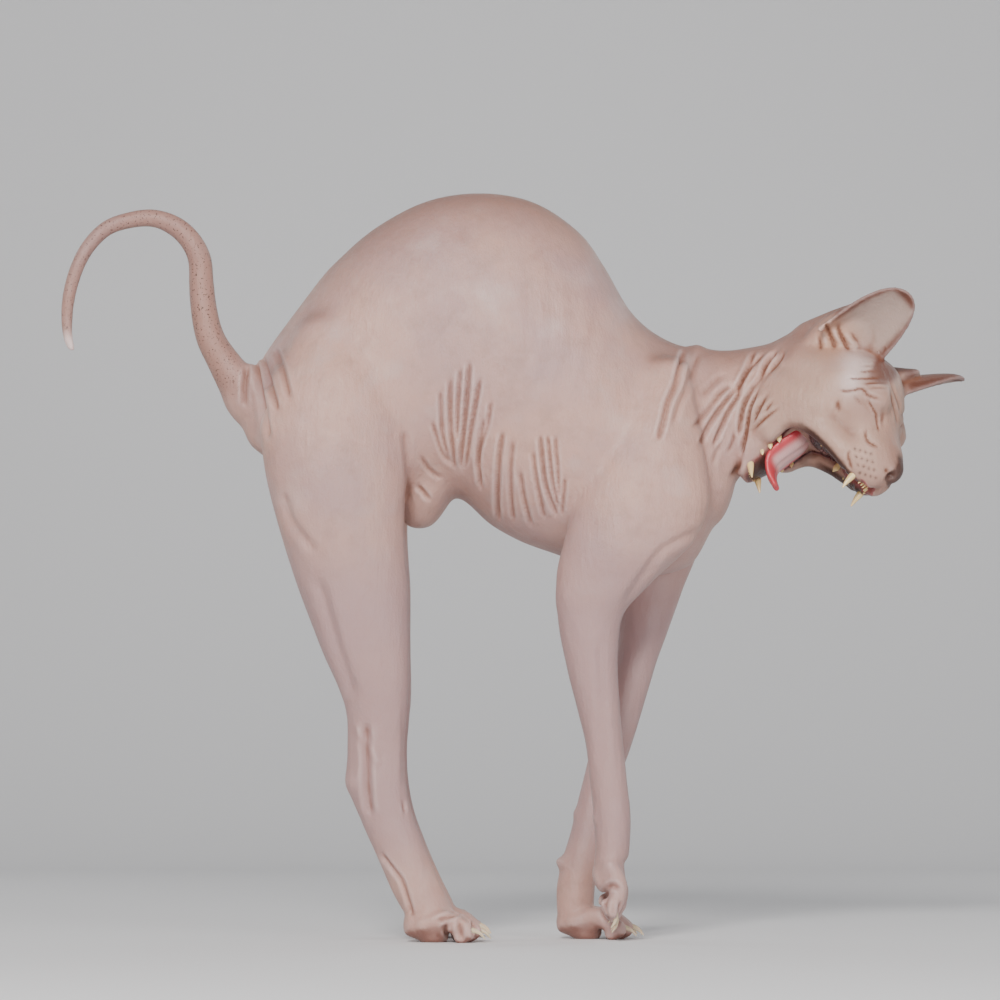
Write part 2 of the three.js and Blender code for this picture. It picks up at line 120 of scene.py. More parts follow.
LIFTED_LEG = (
    (70, 305, 93, 308, 8, 31),
    (52, 274, 99, 271, 14, 35),
    (33, 237, 104, 234, 18, 37),
    (24, 204, 95, 211, 18, 37),
    (22, 187, 71, 188, 15, 36),
    (23, 171, 58, 173, 13, 34),
    (27, 148, 55, 151, 12, 32),
    (33, 124, 56, 127, 10.5, 30),
    (38, 103, 58, 105, 9.5, 28),
    (40, 84, 60, 85, 9.5, 27),
    (42, 66, 62, 66, 10, 26),
    (43, 45, 61, 45, 10.5, 25),
)
PLANTED_LEG = (
    (70, 305, 93, 308, 8, 31),
    (52, 274, 101, 270, 14, 35),
    (48, 237, 106, 234, 18, 36),
    (53, 206, 102, 212, 18, 34),
    (57, 185, 93, 190, 15, 31),
    (57, 165, 85, 168, 13, 28),
    (53, 143, 77, 146, 12, 24),
    (46, 120, 70, 123, 10.5, 21),
    (41, 100, 63, 101, 9.5, 18),
    (36, 80, 56, 82, 9.5, 16),
    (31, 59, 51, 61, 10, 14),
    (26, 42, 47, 44, 10.5, 12),
    (23, 28, 44, 30, 11, 11),
    (23, 15, 43, 18, 11, 10),
)
# Centre line of the tail: x, y, z, half height, half width
TAIL = (
    (-128, 0, 290, 19, 17),
    (-137, 0, 288, 17, 14),
    (-145, 0, 294, 14, 12),
    (-151, 0, 302, 11, 10),
    (-159, 0, 314, 8.8, 8.8),
    (-165, 0, 325, 8, 8),
    (-168.5, 0, 340, 7.4, 7.4),
    (-170, -0.5, 355, 7, 7),
    (-171, -1, 368, 6.6, 6.6),
    (-176, -1.5, 378, 6.2, 6.2),
    (-184, -2, 385.5, 5.8, 5.8),
    (-196, -2.5, 390, 5.1, 5.1),
    (-208, -3, 389, 4.8, 4.8),
    (-221, -3.5, 384.5, 4.5, 4.5),
    (-231, -4, 374.5, 4.3, 4.3),
    (-237.5, -4, 362, 4.1, 4.1),
    (-241.5, -4, 347, 3.9, 3.9),
    (-242.5, -4, 334, 3.5, 3.5),
    (-241.5, -4, 323, 2.9, 2.9),
    (-239.5, -4, 318, 2.4, 2.4),
)
# Forms of the head in its own frame: x to the nose, y left, z to the crown
SKULL = (
    (-41, 4, -39, -20, 17, 0),
    (-34, 14, -33, -27, 24, 0),
    (-20, 23, -20, -31, 30, 0),
    (-4, 29, -6, -33, 33, 0),
    (10, 32, 8, -31, 33.5, 0),
    (22, 28, 20, -26, 30, 0),
    (32, 20.5, 30, -23, 25, 0),
    (41, 12.5, 40, -21, 19.5, 0),
    (49, 8, 48, -19, 16, 0),
    (56, 5, 55, -17, 12.5, 0),
    (61, 1, 61, -14, 8.5, 0),
)
WHISKER_PAD = (
    (36, 1, 34, -22, 7, 11.5),
    (44, 1.5, 44, -25.5, 8, 10.5),
    (52, -0.5, 53, -25, 7.5, 8.5),
    (58, -3, 61, -21.5, 5.5, 5.5),
)
UPPER_LIP = (
    (20, -15, 11, -35, 5, 21.5),
    (28, -13, 25, -29.5, 5.5, 20),
    (37, -11, 36, -27.5, 6, 17),
    (46, -11, 46, -26.5, 6, 13),
)
# The ball of each eye under its lids
EYE_AT = (27, 18, 9.5)
EYE_RADII = (10.5, 9, 9.8)
NOSE = (
    (57, 3.5, 57, -8, 6.6, 0),
    (62, 1.5, 61.5, -10.5, 5.8, 0),
    (65.5, -3.5, 65, -10, 4, 0),
)
CHEEK = (
    (24, -18, -14, -8, 7, 25),
    (19, -27, -22, -22, 7.5, 23),
    (13, -36, -22, -34, 7, 20),
    (12, -44, -15, -44, 6.5, 17),
)
LOWER_JAW = (
    (13, -20, -28, -14, 25, 0),
    (12.5, -34, -25, -28, 24, 0),
    (12.5, -46, -16, -43, 19.5, 0),
    (12.5, -56, -8, -56, 15.5, 0),
    (12, -62.5, -2, -64, 12, 0),
    (12, -67.5, 4, -68, 8, 0),
)
# The parting from the nose down to the upper lip
NOSE_PARTING = ((66, 0, -9), (66, 0, -13), (64, 0, -19))
NOSE_PARTING_DEPTH = 1.2
MOUTH_HOLLOW = (
    (-4, -20, -10, -30, 11, 0),
    (12, -18, 0, -38, 14.5, 0),
    (32, -17, 3.5, -52, 13, 0),
    (54, -19, 5, -63, 9.5, 0),
    (78, -22, 4, -80, 12, 0),
)
# The opening between the lips: upper lip's edge, lower lip's edge and a width that cuts right through
MOUTH_OPENING = (
    (12.5, -36.5, 12, -41, 32, 0),
    (19, -31, 13.5, -47, 32, 0),
    (27, -28.6, 14, -54, 32, 0),
    (37, -27.2, 14.5, -60, 32, 0),
    (47, -26.4, 16, -64.5, 32, 0),
    (56, -25.4, 22, -70, 32, 0),
    (64, -23.4, 30, -76, 32, 0),
    (76, -20, 50, -84, 32, 0),
)
TONGUE_LINE = (
    (1, 0, -24, 5, 9),
    (6, 0, -33, 4.5, 11),
    (7, 0, -44, 3.6, 11.5),
    (9, 0, -52, 3, 10),
    (15, 0, -56.5, 2.3, 7.5),
    (21, 0, -58, 1.6, 4.5),
)
# Flesh behind each ear, in the ear's frame: along the rise, towards the facing, half depth, half width
EAR_BASE = (
    (-14, -3, 11, 16),
    (-2, -4, 9.5, 18),
    (9, -5, 6, 17.5),
    (20, -6.5, 2.6, 14),
)
# Muscle from the nape up the back of the right ear, which is turned forward, in the head's frame
EAR_STRAP = (
    (-33, 13, 4, 10, 9),
    (-27, 21, 12, 8, 8),
    (-21, 28.5, 24, 5, 5.5),
    (-16, 33, 36, 2, 3),
)

# Each paw: where it stands, its pitch and yaw in degrees, its size and how far the toes curl
PAWS = {
    "hind_right": {"at": (-38, -28.5, -0.6), "pitch": 0, "yaw": 4, "size": 1.0, "curl": 0},
    "hind_left": {"at": (-38, 28.5, -0.6), "pitch": 0, "yaw": -4, "size": 1.0, "curl": 0},
    "fore_right": {"at": (44, -25, 28), "pitch": 74, "yaw": 4, "size": 0.95, "curl": 1},
    "fore_left": {"at": (44, 10, -0.6), "pitch": 0, "yaw": -3, "size": 1.02, "curl": 0},
}
TOE_SPREAD = (-10.2, -3.7, 3.7, 10.2)
TOE_REACH = (-3.5, 0, 0, -3.5)
TOE_FAN = (-0.2, -0.06, 0.06, 0.2)


# Curves and swept forms, all worked out as whole arrays


def curve_at(points, t):
    """A centripetal Catmull-Rom curve through points, each span an equal share of t from 0 to 1."""
    points = np.asarray(points, float)
    ends = np.vstack([2 * points[0] - points[1], points, 2 * points[-1] - points[-2]])
    spans = len(points) - 1
    place = np.clip(np.asarray(t, float), 0, 1) * spans
    span = np.minimum(place.astype(int), spans - 1)
    w = (place - span)[:, None]
    p0, p1, p2, p3 = (ends[span + k] for k in range(4))
    pairs = ((p0, p1), (p1, p2), (p2, p3))
    d0, d1, d2 = (np.maximum(np.sum((b - a) ** 2, 1, keepdims=True) ** 0.25, 1e-4) for a, b in pairs)
    t1 = ((p1 - p0) / d0 - (p2 - p0) / (d0 + d1) + (p2 - p1) / d1) * d1
    t2 = ((p2 - p1) / d1 - (p3 - p1) / (d1 + d2) + (p3 - p2) / d2) * d1
    return p1 + t1 * w + (2 * (p2 - p1) * 1.5 - 2 * t1 - t2) * w**2 + (2 * (p1 - p2) + t1 + t2) * w**3


def tangent_at(points, t):
    """The curve's unit direction, from two points of it a ten-thousandth apart."""
    near = curve_at(points, np.clip(t - 1e-4, 0, 1))
    far = curve_at(points, np.clip(t + 1e-4, 0, 1))
    way = far - near
    return way / np.linalg.norm(way, axis=1, keepdims=True)


def outline_rows(stations, side=1.0):
    """Centre, upper half axis and side half axis of each outline station."""
    s = np.asarray(stations, float)
    zero = np.zeros(len(s))
    centre = np.stack([(s[:, 0] + s[:, 2]) / 2, s[:, 5] * side, (s[:, 1] + s[:, 3]) / 2], 1)
    upper = np.stack([(s[:, 0] - s[:, 2]) / 2, zero, (s[:, 1] - s[:, 3]) / 2], 1)
    return centre, upper, np.stack([zero, s[:, 4], zero], 1)


def line_rows(points, side=1.0):
    """Rows square to a centre line of x, y, z, half height, half width."""
    s = np.asarray(points, float)
    centre = s[:, :3] * (1, side, 1)
    along = tangent_at(centre, np.linspace(0, 1, len(s)))
    upper = np.stack([-along[:, 2], np.zeros(len(s)), along[:, 0]], 1)
    upper /= np.linalg.norm(upper, axis=1, keepdims=True)
    across = np.cross(along, upper)
    return centre, upper * s[:, 3:4], across * s[:, 4:5]


def grid_form(points):
    """A closed form from rings of points: row 0 and the last row close to their own middles."""
    rings, around = points.shape[:2]
    body = points.reshape(-1, 3)
    poles = np.stack([points[0].mean(0), points[-1].mean(0)])
    verts = np.vstack([body, poles])
    i = np.arange(rings - 1)[:, None] * around
    j = np.arange(around)[None, :]
    k = (j + 1) % around
    quads = np.stack([i + j, i + k, i + around + k, i + around + j], -1).reshape(-1, 4)
    first = np.stack([k[0], j[0], np.full(around, len(body)), np.full(around, -1)], 1)
    base = (rings - 1) * around
    last = np.stack([base + j[0], base + k[0], np.full(around, len(body) + 1), np.full(around, -1)], 1)
    return verts, np.vstack([quads, first, last])


def bowed(value, square):
    """A sine or cosine raised to 2 / square with its sign kept, which makes an oval squarer."""
    return np.sign(value) * np.abs(value) ** (2 / square)


def sweep(rows, around=64, along=90, dome=0.5, square=2.0, egg=0.0):
    """A closed form through rows: at share t and angle a, the centre's point plus cos a of the upper axis
    and sin a of the side axis, each raised to 2 / square; the ends close in quarter ellipses dome long."""
    centres, uppers, sides = rows
    cap = 10
    inner = np.linspace(0, 1, along)
    t = np.concatenate([np.zeros(cap), inner, np.ones(cap)])
    past = np.concatenate([np.linspace(0.97, 0.1, cap), np.zeros(along), np.linspace(0.1, 0.97, cap)])
    sign = np.concatenate([-np.ones(cap), np.zeros(along), np.ones(cap)])
    upper, side = curve_at(uppers, t), curve_at(sides, t)
    high_len = np.linalg.norm(upper, axis=1)
    out = sign * np.sin(past * np.pi / 2) * dome * high_len
    middle = curve_at(centres, t) + tangent_at(centres, t) * out[:, None]
    angle = np.linspace(0, 2 * np.pi, around, endpoint=False)
    shrink = np.cos(past * np.pi / 2)[:, None]
    high = bowed(np.cos(angle), square)[None] * shrink
    wide = bowed(np.sin(angle), square)[None] * shrink * (1 + egg * high)
    points = middle[:, None] + upper[:, None] * high[..., None] + side[:, None] * wide[..., None]
    return grid_form(points)


def ball(at, radii, around=40, rings=24):
    """An ellipsoid: radii times the unit sphere's latitude and longitude, moved to at."""
    v = np.linspace(0.02, 0.98, rings) * np.pi
    u = np.linspace(0, 2 * np.pi, around, endpoint=False)
    unit = np.stack(
        [np.sin(v)[:, None] * np.cos(u), np.sin(v)[:, None] * np.sin(u), np.cos(v)[:, None] + 0 * u], -1
    )
    return grid_form(unit * radii + np.asarray(at, float))


def ear_frame(side):
    """Root, way to the tip, way the hollow faces and way across, of one ear."""
    root, rise, facing = (np.asarray(EARS[side][k], float) for k in ("root", "rise", "facing"))
    rise = rise / np.linalg.norm(rise)
    facing = facing - rise * facing.dot(rise)
    facing = facing / np.linalg.norm(facing)
    return root, rise, facing, np.cross(rise, facing)


def ear_half(reach):
    """Half width of the ear at a share of its length."""
    return EAR_HALF_WIDTH * (1 - 0.12 * reach) * np.sqrt(np.clip(1 - reach**3.4, 0.015, 1))


def ear_form(side, across_n=56, up_n=60):
    """A curved plate: across the ear an arc of radius r and half angle spread, less towards the tip."""
    root, rise, facing, across = ear_frame(side)
    reach = np.linspace(0, 1, up_n) ** 0.8
    spread = EAR_SPREAD[0] + (EAR_SPREAD[1] - EAR_SPREAD[0]) * reach**0.7
    radius = ear_half(reach) / np.sin(np.minimum(spread, np.pi / 2))
    u = np.linspace(-1, 1, across_n)
    u = np.concatenate([u, u[::-1]])
    outer = np.concatenate([np.ones(across_n), -np.ones(across_n)])
    edge = np.sqrt(np.clip(1 - np.abs(u) ** 14, 0, 1))
    depth = outer * edge * EAR_THICKNESS / 2
    angle = u[None] * spread[:, None]
    r = radius[:, None] - depth[None]
    slant = side * -EAR_SLANT * (1 - 0.4 * reach)
    points = (
        root
        + rise * (reach * EAR_LENGTH)[:, None, None]
        + across * (r * np.sin(angle) + slant[:, None])[..., None]
        + facing * (radius[:, None] * 0.55 - r * np.cos(angle) * 0.8)[..., None]
    )
    return grid_form(points)


def ear_base_forms(side):
    """The solid cup under an ear, and behind the right one a strap of muscle, swept along their lines."""
    root, rise, facing, across = ear_frame(side)
    s = np.asarray(EAR_BASE, float)
    centre = root + rise * s[:, :1] + facing * s[:, 1:2] - across * side * EAR_SLANT
    cup = sweep((centre, facing * s[:, 2:3], across * s[:, 3:4]), 48, 30, dome=0.6)
    if side == LEFT:
        return [cup]
    return [cup, sweep(line_rows(EAR_STRAP, side), 40, 30, dome=0.8)]


def turned(form, matrix):
    """A form moved and turned by a matrix."""
    verts, faces = form
    return verts @ np.asarray(matrix.to_3x3()).T + np.asarray(matrix.translation), faces


HEAD = (
    Matrix.Translation(SKULL_AT)
    @ Matrix.Rotation(math.radians(HEAD_PITCH), 4, "Y")
    @ Matrix.Rotation(math.radians(-HEAD_YAW), 4, "Z")
)


def paw_matrix(paw):
    """Where a paw stands, its pitch and turn, and its size."""
    return (
        Matrix.Translation(paw["at"])
        @ Matrix.Rotation(math.radians(paw["pitch"]), 4, "Y")
        @ Matrix.Rotation(math.radians(paw["yaw"]), 4, "Z")
        @ Matrix.Scale(paw["size"], 4)
    )


def toe_points(k, curl):
    """Centre line of toe k: out from the palm, over the knuckle and down to the tip."""
    y, x, fan = TOE_SPREAD[k], TOE_REACH[k], TOE_FAN[k]
    return (
        (x - 8, y * 0.85, 10, 4.6, 4.2),
        (x + 3, y + fan * 3, 12.6 - curl * 0.5, 5, 4.4),
        (x + 11, y + fan * 11, 9.4 - curl, 5, 4.5),
        (x + 16.5, y + fan * 16.5, 5.4 - curl * 1.5, 4.6, 4.2),
    )


def paw_forms(paw):
    """A palm, its pad, and four toes with their pads, placed as the paw stands."""
    curl = paw["curl"]
    palm = ((-17, 0, 11, 7.5, 9), (-9, 0, 9.5, 8.5, 12), (0, 0, 9, 7.5, 13))
    forms = [sweep(line_rows(palm), 40, 30)]
    forms.append(ball((-5, 0, 3.4), (8.5, 9.5, 4.4)))
    for k in range(4):
        forms.append(sweep(line_rows(toe_points(k, curl)), 32, 30, dome=0.8))
        y = TOE_SPREAD[k] + TOE_FAN[k] * 13
        forms.append(ball((TOE_REACH[k] + 12.5, y, 2.9 - curl * 1.2), (4.2, 3.5, 3.0), 24, 14))
    matrix = paw_matrix(paw)
    return [turned(f, matrix) for f in forms]


def joined(forms):
    """All the forms as one set of points and faces."""
    verts, faces, start = [], [], 0
    for v, f in forms:
        verts.append(v)
        faces.append(np.where(f >= 0, f + start, -1))
        start += len(v)
    return np.vstack(verts), np.vstack(faces)


def mesh_of(name, verts, faces):
    """A mesh from arrays in metres; a fourth index of -1 marks a triangle."""
    mesh = bpy.data.meshes.new(name)
    tri = faces[:, 3] < 0 if faces.shape[1] == 4 else np.ones(len(faces), bool)
    sizes = np.where(tri, 3, 4)
    loops = faces.reshape(-1) if not tri.any() else faces[:, :4].reshape(-1)[(faces.reshape(-1) >= 0)]
    mesh.vertices.add(len(verts))
    mesh.vertices.foreach_set("co", np.ascontiguousarray(verts, dtype=np.float32).ravel())
    mesh.loops.add(len(loops))
    mesh.loops.foreach_set("vertex_index", np.ascontiguousarray(loops, dtype=np.int32))
    mesh.polygons.add(len(faces))
    starts = np.concatenate([[0], np.cumsum(sizes)[:-1]]).astype(np.int32)
    mesh.polygons.foreach_set("loop_start", starts)
    mesh.update(calc_edges=True)
    mesh.validate()
    return mesh


def object_of(name, verts, faces, material=None):
    """A smooth object in the scene from arrays in millimetres."""
    mesh = mesh_of(name, verts * MM, faces)
    mesh.polygons.foreach_set("use_smooth", np.ones(len(mesh.polygons), bool))
    obj = bpy.data.objects.new(name, mesh)
    bpy.context.scene.collection.objects.link(obj)
    if material:
        mesh.materials.append(material)
    return obj


def arrays_of(mesh):
    """Points in millimetres, edges, and triangles of a mesh."""
    verts = np.empty(len(mesh.vertices) * 3, np.float32)
    mesh.vertices.foreach_get("co", verts)
    edges = np.empty(len(mesh.edges) * 2, np.int32)
    mesh.edges.foreach_get("vertices", edges)
    mesh.calc_loop_triangles()
    tris = np.empty(len(mesh.loop_triangles) * 3, np.int32)
    mesh.loop_triangles.foreach_get("vertices", tris)
    return verts.reshape(-1, 3).astype(float) / MM, edges.reshape(-1, 2), tris.reshape(-1, 3)


def set_points(mesh, points):
    """Moves a mesh's points to places given in millimetres."""
    mesh.vertices.foreach_set("co", (points * MM).astype(np.float32).ravel())


def set_values(mesh, name, values):
    """Keeps one number a point with the mesh, for the materials to read."""
    mesh.attributes.new(name, "FLOAT", "POINT").data.foreach_set("value", values.astype(np.float32))


def evaluated_mesh(obj):
    """A new mesh of the object with its modifiers applied."""
    graph = bpy.context.evaluated_depsgraph_get()
    return bpy.data.meshes.new_from_object(obj.evaluated_get(graph))


def normals_of(points, tris):
    """Unit normals: the sum of each point's triangles' cross products, made one long."""
    a, b, c = (points[tris[:, k]] for k in range(3))
    face = np.cross(b - a, c - a)
    total = np.zeros_like(points)
    for k in range(3):
        for axis in range(3):
            total[:, axis] += np.bincount(tris[:, k], face[:, axis], len(points))
    return total / np.maximum(np.linalg.norm(total, axis=1, keepdims=True), 1e-9)


# How far a relaxing step goes towards the middle of the neighbours, and how much larger the step back is
RELAX_STEP = 0.6
STEP_BACK = 1.04


def relaxed(points, edges, weight, times):
    """Each point moves a share, set by weight, of the way to the middle of its neighbours, times over."""
    a, b = edges[:, 0], edges[:, 1]
    n = len(points)
    neighbours = np.bincount(a, minlength=n) + np.bincount(b, minlength=n)
    share = (RELAX_STEP * weight / np.maximum(neighbours, 1))[:, None]
    keep = 1 - RELAX_STEP * weight[:, None]
    points = points.copy()
    for _ in range(times):
        total = np.stack(
            [np.bincount(a, points[b, k], n) + np.bincount(b, points[a, k], n) for k in range(3)], 1
        )
        points = points * keep + total * share
    return points


def evened(points, edges, weight, times=10):
    """Steps of the grain smoothed away without shrinking: each relaxing step is followed by a slightly
    larger step back."""
    for _ in range(times):
        points = relaxed(points, edges, weight, 1)
        points = relaxed(points, edges, -STEP_BACK * weight, 1)
    return points


def ramp(value, low, high):
    """0 below low, 1 above high and a smooth rise between."""
    t = np.clip((value - low) / (high - low), 0, 1)
    return t * t * (3 - 2 * t)


def near_line(points, line):
    """Distance to a broken line, and how far along it the nearest place is, from 0 to 1."""
    line = np.asarray(line, float)
    lengths = np.linalg.norm(np.diff(line, axis=0), axis=1)
    whole = lengths.sum()
    best = np.full(len(points), 1e9)
    share = np.zeros(len(points))
    gone = 0.0
    for a, b, length in zip(line[:-1], line[1:], lengths):
        t = np.clip((points - a) @ (b - a) / length**2, 0, 1)
        d = np.linalg.norm(points - a - t[:, None] * (b - a), axis=1)
        closer = d < best
        best = np.where(closer, d, best)
        share = np.where(closer, (gone + t * length) / whole, share)
        gone += length
    return best, share


# Length over which a fold fades out at each end, in millimetres
FOLD_END = 5


def groove(points, line, width, lip=0.3):
    """Depth of a fold along a line: 1 at its middle, a raised lip on each side, fading to both ends."""
    line = curve_at(line, np.linspace(0, 1, 4 * len(line)))
    low, high = line.min(0) - 5 * width, line.max(0) + 5 * width
    inside = np.all((points > low) & (points < high), axis=1)
    depth = np.zeros(len(points))
    if inside.any():
        d, share = near_line(points[inside], line)
        length = np.linalg.norm(np.diff(line, axis=0), axis=1).sum()
        end = np.clip(FOLD_END / length, 0.12, 0.45)
        fade = ramp(share, -0.02, end) * ramp(-share, -1.02, end - 1)
        raised = lip * np.exp(-(((d - 2.1 * width) / width) ** 2))
        depth[inside] = (np.exp(-((d / width) ** 2)) - raised) * fade
    return depth


def swell(points, at, radii):
    """1 at a place, falling off as a bell over the radii."""
    return np.exp(-np.sum(((points - at) / radii) ** 2, axis=1))


# Folds of loose skin as the viewer sees them on the upright plane through the spine: points of x and z in
# millimetres, then depth and width; a negative depth stands out
FLANK_FOLDS = (
    (((-44.5, 279.5), (-42, 272), (-38.5, 261.5), (-34.5, 255)), 1.6, 1.2),
    (((-40, 296), (-38.5, 270.5), (-36, 261.5), (-33.5, 254)), 1.8, 1.2),
    (((-34.5, 302.5), (-34.5, 283.5), (-33, 261.5), (-31.5, 251.5)), 2.2, 1.3),
    (((-29, 308), (-30.5, 285.5), (-31, 269)), 2, 1.2),
    (((-24, 311.5), (-25.5, 292.5), (-27, 275), (-29.5, 251.5)), 3, 1.4),
    (((-18.5, 302.5), (-21, 287.5), (-23.5, 275), (-27, 252)), 2.6, 1.3),
    (((-12.5, 290.5), (-14.5, 277), (-18.5, 263.5), (-20, 252.5)), 1.8, 1.2),
    (((-16, 281.5), (-19.5, 261.5), (-18, 242)), 2.2, 1.3),
    (((-6, 274), (-8, 261), (-9, 234.5), (-8, 224)), 2.4, 1.5),
    (((-0.5, 269), (-2, 252.5), (-1.5, 236.5), (0, 223.5)), 1.6, 1.3),
    (((14, 272), (17, 245.5), (23.5, 227)), 2.4, 1.4),
    (((18, 272), (21.5, 242), (24.5, 230)), 2.2, 1.2),
    (((22, 272), (24.5, 236)), 1.8, 1.2),
    (((27.5, 249.5), (25.5, 227)), 1.8, 1.2),
    (((3, 252.5), (5.5, 236.5), (9.5, 221.5)), 1.6, 1.4),
    (((10, 263.5), (12, 247.5), (16.5, 225.5)), 1.5, 1.3),
    (((-53, 245.5), (-48, 239.5), (-44.5, 235)), 1.8, 1.3),
    (((-51, 261), (-45.5, 252.5), (-38, 247.5)), 1.2, 1.4),
    (((-59.5, 274.5), (-57.5, 261), (-56.5, 247.5), (-58, 234)), 1.5, 2.2),
)
TAIL_ROOT_FOLDS = (
    (((-144, 309), (-145.5, 298.5), (-145.5, 286)), 2.2, 1.4),
    (((-139.5, 312), (-137, 296), (-132.5, 269)), 2.4, 1.5),
    (((-136, 314.5), (-131.5, 299), (-127.5, 284)), 2, 1.3),
    (((-129.5, 319), (-125.5, 309), (-121, 291)), 1.8, 1.5),
)
NECK_FOLDS = (
    (((92, 318.5), (89.5, 309), (87, 298.5), (83, 289), (80, 277), (77.5, 268)), 2.8, 1.5),
    (((100.5, 317), (97.5, 309.5), (94, 298.5), (89, 288), (85.5, 277)), 1.2, 1.8),
    (((131, 318), (126.5, 309), (122, 300), (115.5, 291.5), (109, 283), (104, 274.5),
      (100, 264.5)), 2.2, 1.3),
    (((135.5, 316.5), (128.5, 309), (123.5, 301.5), (120.5, 293), (116, 285), (112.5, 277),
      (109, 269), (107, 263.5)), 2.2, 1.2),
    (((142.5, 317.5), (136.5, 310), (133, 302.5), (128.5, 296), (124.5, 288), (122.5, 279.5),
      (122, 270)), 3, 1.3),
    (((147, 318.5), (142.5, 311), (136, 303.5), (131, 295), (127.5, 286), (126, 278.5), (125, 272),
      (123.5, 265.5), (122, 259)), 2.6, 1.2),
    (((155.5, 314.5), (148, 308), (141.5, 300), (136.5, 293), (131.5, 285), (128.5, 277.5)), 2.2, 1.3),
    (((149, 304.5), (144, 298), (140, 290.5), (134.5, 283)), 1.5, 1.1),
    (((169.5, 308), (162.5, 311.5), (156, 311), (150, 305.5), (146.5, 299), (143.5, 292)), 1.8, 1.3),
    (((175, 305.5), (170.5, 311), (165.5, 316.5)), 1.4, 1.2),
    (((160, 304), (164, 301), (169, 298)), 1, 1.1),
    (((122.5, 261), (120.5, 254), (116.5, 247.5)), 1.6, 1.6),
    (((119.5, 299.5), (112.5, 295), (107, 288), (101.5, 281), (96, 274.5)), 1.3, 1.5),
    (((146.5, 288.5), (139.5, 284), (133, 278.5), (128.5, 273)), 1.2, 1.1),
    (((119.5, 275.5), (118, 267.5), (115, 260.5)), 1.2, 1.2),
    (((113.5, 305.5), (107, 299), (100.5, 291.5)), 1, 1.6),
    (((112.5, 269), (109, 261), (107, 254)), 1, 1.4),
)
LEG_FOLDS = (
    (((-125, 241), (-120, 224.5), (-106.5, 208)), 1.4, 2.6),
    (((-106.5, 195.5), (-99, 171), (-85.5, 128)), 1.6, 3),
    (((-80, 116.5), (-79.5, 96), (-79, 80), (-77.5, 65)), 2.6, 2.2),
    (((-86, 116.5), (-80, 106), (-73.5, 96), (-70, 93)), -0.67, 1.67),
    (((-60, 75.5), (-59.5, 70.5), (-58.5, 65.5)), 1.4, 0.9),
    (((-72.5, 46.5), (-66, 38), (-61, 31.5), (-57.5, 22), (-54.5, 11)), 1.8, 1.2),
    (((-60, 126), (-59.5, 101.5), (-59.5, 80)), 0.8, 1.6),
    (((103.5, 221), (86.5, 213.5), (79, 208.5), (68, 193.5), (58.5, 178.5)), 1.2, 2.4),
    (((46.5, 161), (48, 128.5), (46.5, 90.5)), 0.7, 3),
)
# Between the toes, over the knuckles and round the heel pad
PAW_FOLDS = (
    (((-43, 8.4), (-36, 11.3), (-30.3, 14), (-24, 16.8)), 2, 1.2),
    (((-36.2, 9.5), (-37.3, 4.5), (-35.7, -1)), 2.2, 1.2),
    (((-28.7, 10.6), (-29.2, 4.3), (-28.1, -2)), 2.6, 1.3),
    (((-21.1, 12.8), (-21.6, 5.9), (-20.6, -2)), 2.2, 1.2),
    (((37.5, 44), (41, 32.4), (46, 21)), 1.4, 1.3),
    (((48, 25), (52.9, 28.6), (58.5, 25)), 1.6, 1.2),
    (((50.4, 23.5), (48.6, 15.1), (51, 8)), 2.6, 1.3),
    (((58, 21), (57.2, 12.4), (55.2, 6)), 2.4, 1.2),
)
FACE_FOLDS = (
    (((190, 292.5), (192.5, 288), (195, 283.5), (196.5, 278.5), (197.5, 274)), 1.9, 0.6),
    (((174, 295.5), (181.5, 295.5), (188, 296.5), (191, 293), (195.5, 291.5), (199, 290.5)), 1.2, 0.9),
    (((182, 293.5), (185.5, 290.5), (189, 286)), 0.5, 1.2),
    (((175.5, 292), (175, 287.5), (176, 283)), 1.2, 1.6),
    (((191, 276), (190, 271.5), (191.5, 268), (195.5, 265.5), (198, 264)), 1.1, 1.3),
    (((187, 309), (192, 309), (197.5, 309.5)), 0.8, 0.75),
    (((185, 305.5), (191, 306), (197.5, 306)), 0.9, 0.75),
    (((179, 302), (188, 302), (200, 302.5)), 0.9, 0.8),
    (((187.5, 299), (194.5, 299.5), (202, 299.5)), 0.9, 0.75),
    (((190, 296.5), (196.5, 297), (202.5, 297)), 0.7, 0.7),
    (((200, 308), (202, 302.5), (204.5, 296), (207.5, 289), (209, 282)), 1, 0.9),
    (((202.5, 297), (204, 290.5), (206, 283.5), (207.5, 275.5)), 0.9, 0.9),
    (((182.5, 265.5), (180.5, 261), (181.5, 256), (183.5, 251)), 1, 1),
    (((200, 288.5), (199, 282), (200, 275.5)), 0.6, 1.2),
    (((169.5, 291.5), (168.5, 286), (170, 281)), 0.6, 1.8),
)
# Knobbly skin at the root of the ear
EAR_ROOT_FOLDS = (
    (((162, 332), (164, 325), (166, 317)), 1.3, 0.9),
    (((168, 334), (170, 327), (174, 319)), 1.5, 0.9),
    (((174, 331), (177, 324), (181, 317)), 1.5, 0.9),
    (((165, 331), (167, 325), (170, 318)), -1.6, 1.6),
    (((171, 333), (173.5, 326), (177.5, 318)), -1.8, 1.7),
    (((178, 328), (182, 322), (186, 318)), -1.4, 1.5),
)
# What each set of folds keeps of its listed depths and widths
FULL = (1.0, 1.0)
FLANK_KEEPS = (0.95, 0.8)
NECK_KEEPS = (0.95, 0.88)
LEG_KEEPS = (0.9, 0.9)
FACE_KEEPS = (0.75, 0.85)
